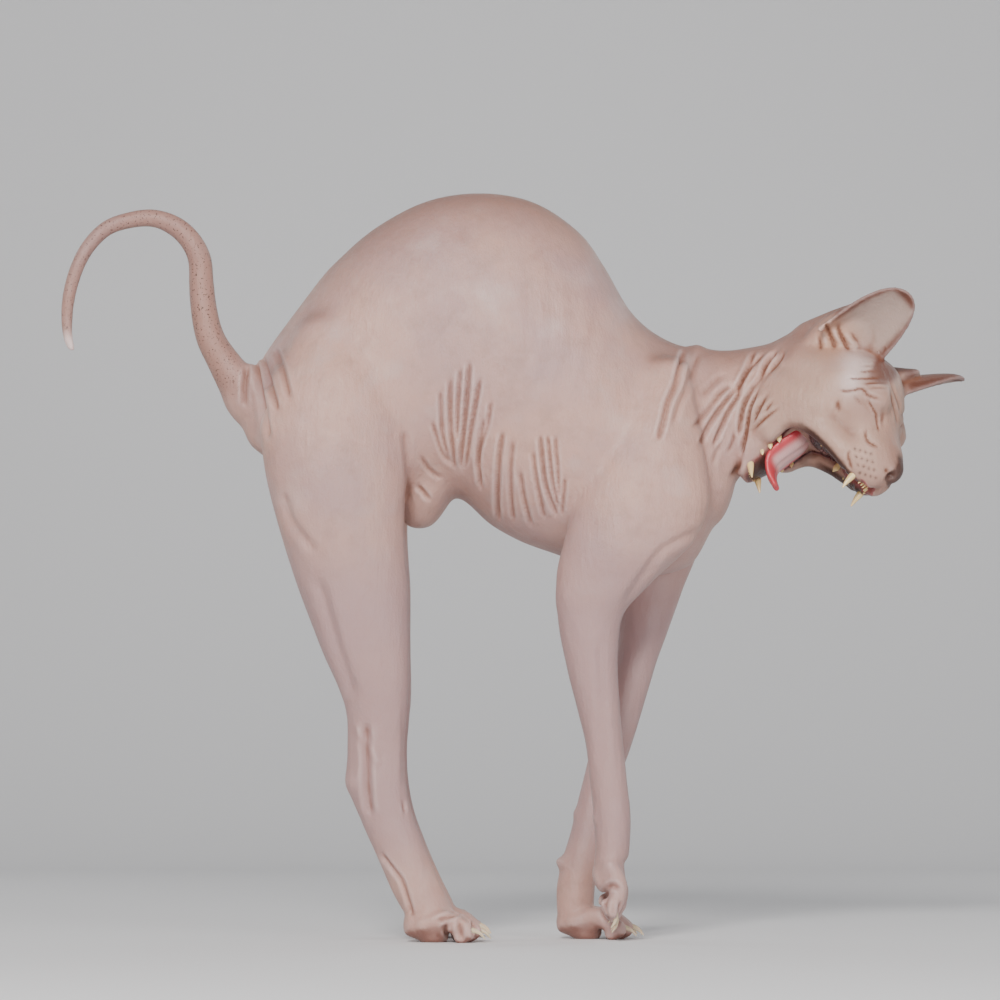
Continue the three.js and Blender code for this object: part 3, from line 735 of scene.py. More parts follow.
# Small forms that stand out, seen in the same way: x, z, reach along x and z, height
BODY_SWELLS = (
    (-88, 84, 4.5, 6, 1.6),  # point of the hock
    (-44, 205, 12, 20, 1.0),  # knee
    (-100, 300, 22, 14, 1.4),  # hip
    (81, 290, 9, 26, 1.6),  # ridge of the shoulder blade
    (28, 184, 7, 9, 1.4),  # elbow
    (41, 64.5, 2.6, 3.4, 3.0),  # pad behind the right wrist
    (99, 320, 4.5, 3, 2.2),  # fold over the withers
    (60, 215, 14, 20, 1.2),  # upper arm
    (-92, 170, 9, 30, 1.4),  # hamstring
    (-60, 140, 6, 26, 0.8),  # shin
    (-66, 345, 20, 24, 1.0),  # loin
    (150, 256, 12, 8, 1.0),  # muscle at the angle of the jaw
    (-52, 40, 7, 22, 0.6),  # long bones of the foot
)
# Ribs under the skin: x at the spine, x and z low on the side; each stands out by RIB_HEIGHT
RIBS = ((2, -8), (14, 4), (26, 15), (38, 27), (50, 38))
RIB_HEIGHT = 0.35
PLANTED_SWELLS = (
    (24, 41, 4, 3.2, 4.0),  # pad behind the left wrist
    (31, 68, 2.5, 3, 1.8),
)


# The viewer's eye, the place looked at, and how wide the view is there, in millimetres
VIEW_FROM = np.array((-7.6, -2000.0, 90.0))
VIEW_TO = np.array((-7.6, 0.0, 236.5))
VIEW_WIDTH = 540.0


def seen_plane(points):
    """Where the viewer sees each point on the upright plane through VIEW_TO, as x and z in millimetres."""
    ahead = VIEW_TO - VIEW_FROM
    ahead = ahead / np.linalg.norm(ahead)
    right = np.array((1.0, 0.0, 0.0))
    off = points - VIEW_FROM
    spread = -VIEW_FROM[1] / (off @ ahead)
    x = VIEW_TO[0] + off @ right * spread
    z = VIEW_TO[2] + off @ np.cross(right, ahead) * spread
    return np.stack([x, z], 1)


def folded(plane, folds, keeps=FULL):
    """Depth of a set of folds at each place of a plane."""
    deep, wide = keeps
    return sum(depth * deep * groove(plane, line, width * wide) for line, depth, width in folds)


def hollowness(points, edges, normals):
    """How far each point lies below the even surface through its neighbours, in millimetres."""
    even = relaxed(points, edges, np.ones(len(points)), 9)
    return np.sum((even - points) * normals, axis=1)


def swollen(plane, swells):
    """Height of a set of bells at each place of a plane."""
    return sum(high * swell(plane, (x, z), (rx, rz)) for x, z, rx, rz, high in swells)


def body_folds(points, normals):
    """How deep each point is folded in, in millimetres: the right side's folds, mirrored to the left."""
    near = points * (1, 0, 1)
    near[:, 1] = -np.abs(points[:, 1])
    plane = seen_plane(near)
    facing = ramp(np.abs(normals[:, 1]), 0.02, 0.3)
    body = ramp(points[:, 2], 192, 204)
    deep = folded(plane, FLANK_FOLDS, FLANK_KEEPS) * body * (0.4 + 0.6 * facing)
    deep += folded(plane, TAIL_ROOT_FOLDS) * body
    deep += folded(plane, NECK_FOLDS, NECK_KEEPS) * ramp(plane[:, 0] + plane[:, 1], 315, 330)
    for high, low in RIBS:
        deep -= RIB_HEIGHT * groove(plane, ((high, 370), ((high + low) / 2 + 5, 320), (low, 285)), 3.2, 0)
    outward = ramp(-normals[:, 1] * np.sign(points[:, 1]) * -1, -0.1, 0.35)
    hind = ramp(-points[:, 0], -20, 0)
    fore_right = ramp(points[:, 0], 0, 20) * ramp(-points[:, 1], 2, 10)
    legs = folded(plane, LEG_FOLDS, LEG_KEEPS) + folded(plane, PAW_FOLDS)
    deep += legs * np.maximum(hind, fore_right) * outward
    deep -= swollen(plane, BODY_SWELLS) * np.maximum(outward, ramp(points[:, 2], 290, 310))
    lower_left = ramp(points[:, 0], 0, 10) * ramp(-points[:, 2], -110, -90) * ramp(points[:, 1], -14, -8)
    deep -= swollen(seen_plane(points), PLANTED_SWELLS) * lower_left
    return deep


def head_local(points):
    """Points in the head's own frame."""
    turn = np.asarray(HEAD.to_3x3())
    return (points - np.asarray(SKULL_AT)) @ turn


def head_world(local):
    """Points of the head's own frame in the cat's frame."""
    return local @ np.asarray(HEAD.to_3x3()).T + np.asarray(SKULL_AT)


def near_face(local):
    """The viewer's plane for the right half of the face, with the left half mirrored onto it."""
    near = local.copy()
    near[:, 1] = -np.abs(near[:, 1])
    return seen_plane(head_world(near))


def face_folds(local):
    """How deep each point of the head is folded in, in millimetres, the same on both sides of the face."""
    mirrored = local.copy()
    mirrored[:, 1] = np.abs(local[:, 1])
    front = ramp(local[:, 0], -20, -8) * ramp(local[:, 2], -34, -24)
    plane = near_face(local)
    deep = (folded(plane, FACE_FOLDS, FACE_KEEPS) + folded(plane, EAR_ROOT_FOLDS)) * front
    return deep + NOSE_PARTING_DEPTH * groove(mirrored, NOSE_PARTING, 0.8)


# Small forms of the face in the head's own frame, the same on both sides: place, radii and height
FACE_SWELLS = (
    ((30, 21.5, 9.5), (8.5, 8, 7), 1.6),  # shut lids over the ball of the eye
    ((42, 14, 2), (5, 5, 5), -1.6),  # hollow before the inner corner
    ((24, 20, 22), (9, 9, 4), 0.9),  # brow
    ((50, 15, -14), (9, 6, 7), 1.0),  # whisker pad
    ((36, 22, -12), (8, 6, 7), -1.2),  # hollow behind it
    ((65, 4.2, -7.5), (2.6, 1.5, 2.2), -3.0),  # nostril
    ((62, 7.2, -8), (3, 1.4, 1.4), -1.4),  # slit behind the nostril
)


def face_swells(local):
    """How far each point of the head stands out, in millimetres."""
    mirrored = local.copy()
    mirrored[:, 1] = np.abs(local[:, 1])
    return sum(height * swell(mirrored, at, radii) for at, radii, height in FACE_SWELLS)


# Roots of the whiskers on the viewer's plane: the first one, the steps along a row and between rows, radius
WHISKER_ROOT = np.array((184.0, 264.0))
ALONG_ROW = np.array((2.9, -0.9))
NEXT_ROW = np.array((0.9, -4.3))
WHISKER_ROWS = 4
WHISKER_RADIUS = 0.75


def follicles(local):
    """Share of each point taken by the roots of the whiskers: slanting rows on each side of the muzzle."""
    plane = near_face(local)
    dots = np.zeros(len(local))
    for i in range(WHISKER_ROWS):
        for k in range(WHISKER_ROWS):
            at = WHISKER_ROOT + k * ALONG_ROW + i * NEXT_ROW
            dots = np.maximum(dots, swell(plane, at, (WHISKER_RADIUS, WHISKER_RADIUS)))
    return dots * ramp(local[:, 0], 30, 36)


# Materials


def shader(name, colour, roughness, **sockets):
    """A material with its main values set."""
    material = bpy.data.materials.new(name)
    material.use_nodes = True
    bsdf = material.node_tree.nodes["Principled BSDF"]
    bsdf.inputs["Base Color"].default_value = colour
    bsdf.inputs["Roughness"].default_value = roughness
    for key, value in sockets.items():
        bsdf.inputs[key].default_value = value
    return material


class Net:
    """A short way of adding nodes to a material and linking them."""

    def __init__(self, material):
        self.tree = material.node_tree
        self.bsdf = self.tree.nodes["Principled BSDF"]

    def node(self, kind, inputs=None, **settings):
        node = self.tree.nodes.new("ShaderNode" + kind)
        for key, value in settings.items():
            setattr(node, key, value)
        for key, value in (inputs or {}).items():
            self.put(value, node.inputs[key])
        return node

    def put(self, value, socket):
        if isinstance(value, bpy.types.NodeSocket):
            self.tree.links.new(value, socket)
        else:
            socket.default_value = value

    def math(self, operation, a, b):
        return self.node("Math", {0: a, 1: b}, operation=operation).outputs[0]

    def mix(self, share, a, b):
        node = self.node("Mix", data_type="RGBA", blend_type="MIX", clamp_factor=True)
        self.put(share, node.inputs["Factor"])
        self.put(a, node.inputs["A"])
        self.put(b, node.inputs["B"])
        return node.outputs["Result"]

    def noise(self, scale, detail=3.0, rough=0.55, vector=None):
        node = self.node("TexNoise")
        self.put(scale, node.inputs["Scale"])
        self.put(detail, node.inputs["Detail"])
        self.put(rough, node.inputs["Roughness"])
        self.put(vector or self.coords(), node.inputs["Vector"])
        return node.outputs["Fac"]

    def coords(self):
        return self.node("TexCoord").outputs["Object"]

    def attribute(self, name):
        return self.node("Attribute", attribute_name=name).outputs["Fac"]

    def spread(self, value, low, high, to_low=0.0, to_high=1.0):
        ends = {"From Min": low, "From Max": high, "To Min": to_low, "To Max": to_high}
        return self.node("MapRange", {"Value": value, **ends}).outputs["Result"]


def skin_material(tones):
    """Mottled skin: four noises mix its tones, then each mask lays its own colour over them, painted shade
    and painted highlights among them.
    """
    material = shader("Bare skin", (*tones.skin, 1), 0.5)
    net = Net(material)
    colour = net.mix(net.spread(net.noise(9, 3), 0.35, 0.68), (*tones.skin, 1), (*tones.skin_warm, 1))
    colour = net.mix(net.spread(net.noise(16, 4), 0.42, 0.68, 0, 0.75), colour, (*tones.skin_mauve, 1))
    colour = net.mix(net.spread(net.noise(90, 5, 0.65), 0.48, 0.8, 0, 0.4), colour, (*tones.dark_skin_and_shade, 1))
    colour = net.mix(net.spread(net.noise(45, 4), 0.55, 0.8, 0, 0.4), colour, (*tones.pale_and_highlight, 1))
    for name, share, tone in (
        ("face", 0.6, tones.face),
        ("mauve", 0.8, tones.skin_mauve),
        # back: darker skin on the upward faces of the body and the tail, with painted shade under the
        # belly, behind the ears and on the face
        ("back", 0.75, tones.dark_skin_and_shade),
        # Pale tail tip, with painted highlights below the ears
        ("pale_and_highlight", 0.85, tones.pale_and_highlight),
        ("ear_cup", 0.8, tones.ear_cup),
        ("ear", 1.0, tones.ear),
        ("root", 0.6, tones.root),
        # Painted highlight on the ridges between folds
        ("ridge_highlight", 0.5, tones.pale_and_highlight),
        # Brown of the folds with painted shade in every hollow of the skin
        ("crease_colour_and_shade", 1.0, tones.crease_colour_and_shade),
        ("pad", 1.0, tones.pad),
        ("mouth", 1.0, tones.mouth),
        # Painted shade, near black, deep in the mouth
        ("throat_shade", 1.0, tones.throat_shade),
        ("dark", 1.0, tones.lip),
    ):
        colour = net.mix(net.math("MULTIPLY", net.attribute(name), share), colour, (*tone, 1))
    freckle = net.spread(net.noise(950, 2), 0.6, 0.68)
    colour = net.mix(net.math("MULTIPLY", freckle, net.attribute("freckle")), colour, (*tones.lip, 1))
    net.put(colour, net.bsdf.inputs["Base Color"])
    rough = net.spread(net.noise(160, 3), 0.3, 0.7, 0.42, 0.58)
    dry = net.math("SUBTRACT", 1.0, net.math("MULTIPLY", net.attribute("mouth"), 0.6))
    rough = net.math("MULTIPLY", rough, dry)
    net.put(rough, net.bsdf.inputs["Roughness"])
    net.bsdf.inputs["Subsurface Weight"].default_value = 0.12
    net.bsdf.inputs["Subsurface Radius"].default_value = (1.0, 0.35, 0.22)
    net.bsdf.inputs["Subsurface Scale"].default_value = 0.002
    net.bsdf.inputs["Specular IOR Level"].default_value = 0.4
    net.bsdf.inputs["Sheen Weight"].default_value = 0.08
    net.bsdf.inputs["Sheen Roughness"].default_value = 0.4
    stretch = net.node("Mapping", {"Vector": net.coords(), "Scale": (1.0, 1.0, 0.3)}).outputs["Vector"]
    grain = net.noise(240, 5, 0.62, stretch)
    crepe = net.node("Bump", {"Strength": 0.5, "Distance": 0.0015, "Height": grain})
    fine = net.node("Bump", {"Strength": 0.3, "Distance": 0.0006, "Height": net.noise(900, 3)})
    net.put(crepe.outputs[0], fine.inputs["Normal"])
    net.put(fine.outputs[0], net.bsdf.inputs["Normal"])
    return material


# What a user can change


class CatSizes(bpy.types.PropertyGroup):
    """Sizes of the cat's pieces and of the skin's mesh"""

    voxel: bpy.props.FloatProperty(
        name="Skin grain", description="Grain of the skin's first mesh", default=0.0009, unit="LENGTH"
    )
    fold: bpy.props.FloatProperty(
        name="Fold depth", description="Depth of the folds, as a share of the cat's own", default=1.0
    )
    faces: bpy.props.IntProperty(
        name="Skin triangles", description="Triangles kept in the skin", default=190000
    )
    keep: bpy.props.FloatProperty(
        name="Kept folds", description="How much more the folds resist thinning", default=1e-6, precision=8
    )
    canine: bpy.props.FloatProperty(
        name="Canine length", description="Length of an upper canine tooth", default=0.011, unit="LENGTH"
    )
    claw: bpy.props.FloatProperty(
        name="Claw length", description="Length of a claw", default=0.009, unit="LENGTH"
    )


def colour_property(name, about, value):
    """A colour that the panel shows."""
    return bpy.props.FloatVectorProperty(
        name=name, description=about, default=value, subtype="COLOR", min=0, max=1
    )


class CatLook(bpy.types.PropertyGroup):
    """Colours of the cat's pieces"""

    skin: colour_property("Skin", "Main colour of the skin", (0.475, 0.285, 0.24))
    skin_warm: colour_property("Warm skin", "Warmer patches", (0.505, 0.30, 0.24))
    face: colour_property("Face", "Beige of the face", (0.43, 0.27, 0.195))
    root: colour_property("Ear root", "Folds at the root of the ears", (0.50, 0.26, 0.13))
    skin_mauve: colour_property("Mauve skin", "Mauve patches of the legs and flank", (0.37, 0.235, 0.23))
    # Darker skin of the back and tail, also laid as painted shade under the belly, behind the ears and on
    # the face
    dark_skin_and_shade: colour_property("Dark skin", "Along the spine and the tail", (0.25, 0.125, 0.095))
    # Pale mottling and tail tip, also laid as painted highlights below the ears and on ridges
    pale_and_highlight: colour_property("Pale skin", "Pale patches by the ears and on the cheeks", (0.66, 0.52, 0.50))
    # Brown of the folds, also laid as painted shade in every hollow
    crease_colour_and_shade: colour_property("Crease", "Depth of the folds", (0.17, 0.06, 0.032))
    ear_cup: colour_property("Ear hollow", "Hollow side of the ears", (0.36, 0.27, 0.235))
    ear: colour_property("Ear", "Ear rims and backs", (0.13, 0.045, 0.028))
    lip: colour_property("Lips", "Lips and nose leather", (0.055, 0.022, 0.016))
    pad: colour_property("Pads", "Paw pads", (0.24, 0.11, 0.085))
    mouth: colour_property("Mouth", "Lining of the mouth", (0.30, 0.09, 0.085))
    # Painted shade deep in the mouth
    throat_shade: colour_property("Throat", "Back of the mouth", (0.045, 0.004, 0.005))
    tongue: colour_property("Tongue", "Edge and tip of the tongue", (0.55, 0.06, 0.075))
    tongue_top: colour_property("Tongue's back", "Top of the tongue", (0.66, 0.38, 0.37))
    tooth: colour_property("Tooth", "Enamel", (0.76, 0.56, 0.26))
    claw: colour_property("Claw", "Claw horn", (0.62, 0.50, 0.34))
    floor: colour_property("Floor", "Floor and backdrop", (0.80, 0.80, 0.81))


def sizes():
    """The scene's sizes."""
    return bpy.context.scene.cat_sizes


def look():
    """The scene's colours."""
    return bpy.context.scene.cat_look


# The solids' nodes that the one skin takes the place of
FLESH = [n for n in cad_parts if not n.startswith(("claw_", "canine_")) and n != "tongue"]


def soft_forms():
    """Every soft form of the cat with its mouth still full, in millimetres."""
    forms = [
        sweep(outline_rows(TRUNK), 150, 170, square=2.15, egg=-0.04, dome=0.4),
        sweep(outline_rows(POUCH), 60, 50, dome=0.3),
        sweep(outline_rows(NECK), 90, 70, dome=0.3),
        sweep(line_rows(TAIL), 40, 260, dome=0.8),
        sweep(outline_rows(HIND_LEG, LEFT), 80, 180, dome=0.4),
        sweep(outline_rows(HIND_LEG, RIGHT), 80, 180, dome=0.4),
        sweep(outline_rows(LIFTED_LEG, RIGHT), 80, 180, dome=0.4),
        sweep(outline_rows(PLANTED_LEG, LEFT), 80, 180, dome=0.4),
    ]
    for paw in PAWS.values():
        forms += paw_forms(paw)
    head = [
        sweep(outline_rows(SKULL), 120, 110, egg=-0.08),
        sweep(outline_rows(LOWER_JAW), 70, 60, egg=0.05),
        sweep(outline_rows(NOSE), 40, 24, egg=0.3),
    ]
    for side in (RIGHT, LEFT):
        for part in (WHISKER_PAD, UPPER_LIP, CHEEK):
            head.append(sweep(outline_rows(part, side), 48, 40, dome=0.6))
        x, y, z = EYE_AT
        head.append(ball((x, y * side, z), EYE_RADII))
        head += [ear_form(side), *ear_base_forms(side)]
    return forms + [turned(form, HEAD) for form in head]


# Steps of smoothing: over the joins of the forms, over the whole skin, and after the mouth is cut
JOIN_STEPS = 90
WHOLE_STEPS = 7
CUT_STEPS = 3
# Ridges across the palate and pits of the whiskers, in millimetres
PALATE_STEP = 5.5
PALATE_HEIGHT = 0.45
PIT_DEPTH = 0.5
# Flesh lower than this lies flat on the floor, and folds deeper than this resist thinning, in millimetres
FLAT_BELOW = 0.35
CRISP_FROM = 0.22


def paw_share(points):
    """1 on the paws, 0 above the wrists and hocks."""
    return ramp(-points[:, 2], -38, -26)


def blended(points, edges):
    """The points with the forms' joins smoothed away; ears, paws, head and tail keep more of theirs."""
    local = head_local(points)
    ear = ear_share(local)
    paw = paw_share(points)
    head = ramp(local[:, 0], -38, -20)
    muzzle = ramp(local[:, 0], 30, 44)
    tail = ramp(-points[:, 0], 140, 152)
    firm = np.maximum.reduce([ear * 0.97, paw * 0.95, head * 0.88, muzzle * 0.95, tail * 0.9])
    points = relaxed(points, edges, 1 - np.clip(firm, 0, 1), JOIN_STEPS)
    points = relaxed(points, edges, 1 - 0.75 * np.maximum(ear, paw), WHOLE_STEPS)
    return evened(points, edges, ear)


def mouth_cutters():
    """The hollow of the mouth and the opening between the lips, swept along their stations."""
    hollow = sweep(outline_rows(MOUTH_HOLLOW), 60, 60, square=2.6, dome=0.2)
    opening = sweep(outline_rows(MOUTH_OPENING), 60, 60, square=5, dome=0.1)
    return [turned(hollow, HEAD), turned(opening, HEAD)]


def pressed(points, edges, tris, local, fold):
    """The points moved along their normals by the folds, swells, palate ridges and whisker pits, and
    which of them are crisp."""
    ear = ear_share(local)
    normals = normals_of(points, tris)
    points = relaxed(points, edges, 0.8 - 0.6 * np.maximum(ear, paw_share(points)), CUT_STEPS)
    body = 1 - np.maximum(ramp(local[:, 0], -26, -12) * ramp(local[:, 2], -44, -30), ear)
    deep = body_folds(points, normals) * body * fold
    face = face_folds(local) * (1 - ear) * fold
    mouth = mouth_shares(local, normals)[0]
    palate = mouth * ramp(normals @ head_way((0, 0, -1)), 0.2, 0.7)
    ridges = PALATE_HEIGHT * np.sin(local[:, 0] * 2 * np.pi / PALATE_STEP) * palate
    pits = follicles(local)
    out = face_swells(local) * (1 - ear) - deep - face * (1 - mouth) + ridges - PIT_DEPTH * pits
    points = relaxed(points + normals * out[:, None], edges, 0.7 - 0.5 * ear, 1)
    points[:, 2] = np.where(points[:, 2] < FLAT_BELOW, 0, points[:, 2])
    return points, np.clip(np.abs(deep) + np.abs(face) * 2 + mouth + pits, 0, 1) > CRISP_FROM


def thinned(skin, crisp, ratio, keep):
    """The skin's mesh with a share of its triangles, fewer on the plain stretches than in the folds."""
    loose = skin.vertex_groups.new(name="loose")
    loose.add(np.flatnonzero(~crisp).tolist(), 1.0, "REPLACE")
    loose.add(np.flatnonzero(crisp).tolist(), 0.5, "REPLACE")
    thin = skin.modifiers.new("Thin", "DECIMATE")
    thin.ratio = min(1.0, ratio)
    thin.vertex_group = "loose"
    thin.vertex_group_factor = keep
    mesh = evaluated_mesh(skin)
    skin.modifiers.clear()
    return mesh


class CAT_OT_skin(bpy.types.Operator):
    """Joins the soft forms, smooths the joins, cuts the mouth, presses in the folds, paints the masks"""

    bl_idname = "cat.skin"
    bl_label = "Skin"

    def execute(self, context):
        size = sizes()
        rough = object_of("Rough form", *joined(soft_forms()))
        mesh = remeshed(rough, size.voxel)
        points, edges, _ = arrays_of(mesh)
        set_points(mesh, blended(points, edges))
        rough.data = mesh
        mesh = remeshed(rough, size.voxel, mouth_cutters())
        bpy.data.objects.remove(rough)
        points, edges, tris = arrays_of(mesh)
        local = head_local(points)
        points, crisp = pressed(points, edges, tris, local, size.fold)
        normals = normals_of(points, tris)
        set_points(mesh, points)
        hollow = hollowness(points, edges, normals)
        for name, values in skin_masks(points, normals, local, hollow).items():
            set_values(mesh, name, values)
        mesh.update()
        skin = bpy.data.objects.new("skin", mesh)
        context.scene.collection.objects.link(skin)
        final = thinned(skin, crisp, size.faces / len(tris), size.keep)
        skin.data = final
        bpy.data.meshes.remove(mesh)
        final.name = "Skin"
        final.polygons.foreach_set("use_smooth", np.ones(len(final.polygons), bool))
        final.materials.clear()
        final.materials.append(skin_material(look()))
        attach(skin, "root")
        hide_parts(*FLESH)
        return {"FINISHED"}


def remeshed(obj, voxel, cutters=()):
    """The object's mesh after the cutters are taken out of it and it is rebuilt as an even grain."""
    if not cutters:
        obj.modifiers.new("Join", "REMESH").voxel_size = voxel
    tools = []
    for form in cutters:
        tools.append(object_of("Cutter", *form))
        cut = obj.modifiers.new("Cut", "BOOLEAN")
        cut.operation = "DIFFERENCE"
        cut.solver = "MANIFOLD"
        cut.object = tools[-1]
    if cutters:
        obj.modifiers.new("Even", "REMESH").voxel_size = voxel
    mesh = evaluated_mesh(obj)
    obj.modifiers.clear()
    for tool in tools:
        bpy.data.objects.remove(tool)
    return mesh


def head_way(way):
    """A direction of the head's frame in the cat's frame."""
    return np.asarray(HEAD.to_3x3()) @ np.asarray(way, float)


# Points along the middle of an opening
MIDDLE_POINTS = 60
# The lower lip's edge, and where the upper lip's edge ends under the nose, as x and z of the head
LOWER_LIP = ((12.5, -44), (12.5, -60), (13.5, -66), (13, -72))
UPPER_LIP_END = (70, -20)


def opening_middle(stations):
    """The middle of an opening seen from the side, its half height and its half width."""
    s = np.asarray(stations, float)
    t = np.linspace(0, 1, MIDDLE_POINTS)
    upper, lower = s[:, [0, 1]], s[:, [2, 3]]
    half = np.stack([np.linalg.norm(upper - lower, axis=1) / 2, s[:, 4]], 1)
    return curve_at((upper + lower) / 2, t), curve_at(half, t)


def beside(local, middle, *values):
    """Distance of each point of the head from a line seen from the side, and the values nearest to it."""
    distance, share = near_line(local[:, [0, 2]], middle)
    at = share * (len(middle) - 1)
    return distance, *(np.interp(at, np.arange(len(middle)), value) for value in values)


def within(local, stations, margin):
    """How far each point of the head is inside an opening grown by margin and seen from the side, in mm."""
    middle, half = opening_middle(stations)
    distance, high, wide = beside(local, middle, half[:, 0], half[:, 1])
    return np.minimum(high + margin - distance, wide + margin - np.abs(local[:, 1]))


def mouth_shares(local, normals):
    """Shares of each point in the mouth's lining, in the lips and in the painted shade at the back of the
    mouth.
    """
    x, _, z = local.T
    aside = np.abs(local[:, 1])
    front = ramp(x, -16, -10)
    hollow = within(local, MOUTH_HOLLOW, 1.6)
    middle, _ = opening_middle(MOUTH_HOLLOW)
    _, middle_x, middle_z = beside(local, middle, middle[:, 0], middle[:, 1])
    inner = np.stack([middle_x, np.zeros(len(local)), middle_z], 1)
    faces_in = np.sum((inner - local) * (normals @ np.asarray(HEAD.to_3x3())), axis=1)
    mouth = ramp(hollow, -0.2, 0.9) * front * ramp(faces_in, -1.0, 1.5) * ramp(z, -71, -67)
    # the last station of the opening lies outside the lips
    edge = np.asarray(MOUTH_OPENING, float)[:-1, :2]
    upper, _ = near_line(local[:, [0, 2]], np.vstack([edge, UPPER_LIP_END]))
    lower, _ = near_line(local[:, [0, 2]], LOWER_LIP)
    lip = np.maximum(ramp(-upper, -3.2, -1.4), 0.8 * ramp(-lower, -3, -1.4))
    lip = lip * ramp(x, 6, 26) * front * ramp(-z, 15, 18)
    lip = np.maximum(lip, ramp(-lower, -3, -1.4) * ramp(-z, 46, 56))
    lip = lip * ramp(-aside, -30, -26) * ramp(z, -74, -72)
    lip = lip * np.maximum(ramp(-aside, -20, -17), ramp(z, -46, -42))
    # Painted shade: the lining grows near black towards the back of the mouth
    throat_shade = mouth * ramp(-x, -44, -24) * ramp(z, -52, -40)
    return mouth, lip, throat_shade


def ear_share(local):
    """1 on the free part of the ears, 0 elsewhere."""
    share = np.zeros(len(local))
    for side in (RIGHT, LEFT):
        root, rise, _, _ = ear_frame(side)
        off = local - root
        up = off @ rise
        aside = np.linalg.norm(off - up[:, None] * rise, axis=1)
        share = np.maximum(share, ramp(up, 8, 17) * ramp(-aside, -36, -31))
    return share


def ear_masks(local, normals):
    """Dark backs and rims of the ears, their greyish hollows, and a painted highlight at their roots."""
    dark, cup, pale_and_highlight = (np.zeros(len(local)) for _ in range(3))
    for side in (RIGHT, LEFT):
        root, rise, facing, across = ear_frame(side)
        off = local - root
        up, aside = off @ rise, off @ across
        reach = np.clip(up / EAR_LENGTH, 0, 1)
        near = -np.linalg.norm(off - up[:, None] * rise, axis=1)
        close = ramp(near, -36, -31) * ramp(up, -4, 6)
        turned_away = ramp(-(normals @ head_way(facing)), -0.15, 0.35)
        edge = np.abs(aside + side * 2.4) / np.maximum(ear_half(reach), 1)
        rim = np.maximum(ramp(edge, 0.7, 0.86), ramp(reach, 0.84, 0.93))
        back = turned_away * (0.45 + 0.5 * reach)
        dark = np.maximum(dark, close * np.maximum(back, rim * ramp(reach, 0.1, 0.3)))
        cup = np.maximum(cup, close * (1 - turned_away) * ramp(reach, 0.08, 0.4))
        # Painted highlight low on the hollow side of the ear's root
        low = swell(np.stack([aside, up], 1), (-side * 11.0, 4.5), (6, 6.5))
        pale_and_highlight = np.maximum(pale_and_highlight, low * (1 - turned_away) * ramp(off @ facing, -12, 0))
    return dark, cup, pale_and_highlight


# Patches of the face as the viewer sees them: place and radii
# Painted highlight on the face below the ear
HIGHLIGHT_BELOW_EAR = ((185, 311), (9, 8))
EAR_ROOT = ((171, 325), (13, 9))
# Line behind the ear where a painted shadow lies
SHADOW_BEHIND_EAR = ((146, 316), (156, 328), (168, 341), (178, 349))
# Painted shade round the eye, down the front of the muzzle and on the upper lip: place, radii and share
FACE_SHADES = (
    ((191, 288), (15, 12), 0.7),
    ((206, 262), (8, 20), 0.9),
    ((196, 241), (12, 8), 0.95),
)


def skin_masks(points, normals, local, hollow):
    """Shares from 0 to 1 of each colour, as functions of place, painted shade and painted highlights among
    them.
    """
    x, _, z = points.T
    on_head = ramp(local[:, 0], -20, -5) * ramp(local[:, 2], -60, -40)
    # Painted shade: darker the deeper a point lies below its neighbours, over the folds' own brown
    crease_colour_and_shade = ramp(hollow / (1 - 0.45 * on_head), 0.06, 0.6)
    on_body = ramp(z, 215, 235) * ramp(x, -140, -120)
    back = on_body * ramp(normals[:, 2], 0.3, 0.95)
    tail = ramp(-x, 138, 158) * ramp(z, 285, 300)
    tip = ramp(-z, -330, -322) * ramp(-x, 225, 232)
    legs = ramp(-z, -235, -170) * ramp(z, 30, 60)
    mouth, lip, throat_shade = mouth_shares(local, normals)
    ear_dark, ear_cup, pale_and_highlight = ear_masks(local, normals)
    plane = near_face(local)
    face = ramp(local[:, 0], -30, 0) * ramp(local[:, 2], -62, -44)
    pale_and_highlight = np.maximum(pale_and_highlight, swell(plane, *HIGHLIGHT_BELOW_EAR) * face)
    root = swell(plane, *EAR_ROOT) * face
    # Painted shadow along the line behind the ear
    behind, _ = near_line(plane, SHADOW_BEHIND_EAR)
    shade = 0.95 * ramp(-behind, -8, -2) * ramp(x, 128, 140)
    # Painted shade on the face
    for at, radii, share in FACE_SHADES:
        shade = np.maximum(shade, share * swell(plane, at, radii) * face)
    nose = within(local, NOSE, 1.5)
    leather = ramp(nose, -0.8, 0.6) * ramp(local[:, 0], 55.5, 58)
    leather = leather * ramp(6.4 - np.abs(local[:, 1]), 0, 1.2)
    dark = np.maximum.reduce([lip, leather * 0.9, follicles(local) * 0.7])
    # Painted shade on the faces of the body that point down
    painted_belly_shade = ramp(-normals[:, 2], 0.2, 0.8) * on_body
    return {
        "crease_colour_and_shade": crease_colour_and_shade * (1 - mouth) * (0.55 + 0.37 * ramp(x, 95, 125)),
        # Painted highlight: paler where a point stands above its neighbours
        "ridge_highlight": ramp(-hollow, 0.06, 0.5) * (1 - mouth) * 0.5,
        # back: darker skin of the back and tail, with painted shade under the belly, behind the ears and on
        # the face
        "back": np.maximum.reduce([back, tail * 0.85, painted_belly_shade * 0.5, shade]) * (1 - tip),
        "mauve": legs,
        # Pale tail tip, and painted highlights below the ears
        "pale_and_highlight": np.maximum(pale_and_highlight, tip),
        "ear_cup": ear_cup,
        "ear": ear_dark,
        "face": face * (1 - ear_dark),
        "root": root,
        "dark": np.clip(dark, 0, 1),
        "pad": ramp(-normals[:, 2], 0.3, 0.7) * ramp(-z, -12, -6),
        "mouth": mouth,
        "throat_shade": throat_shade,
        "freckle": tail * (1 - tip),
    }


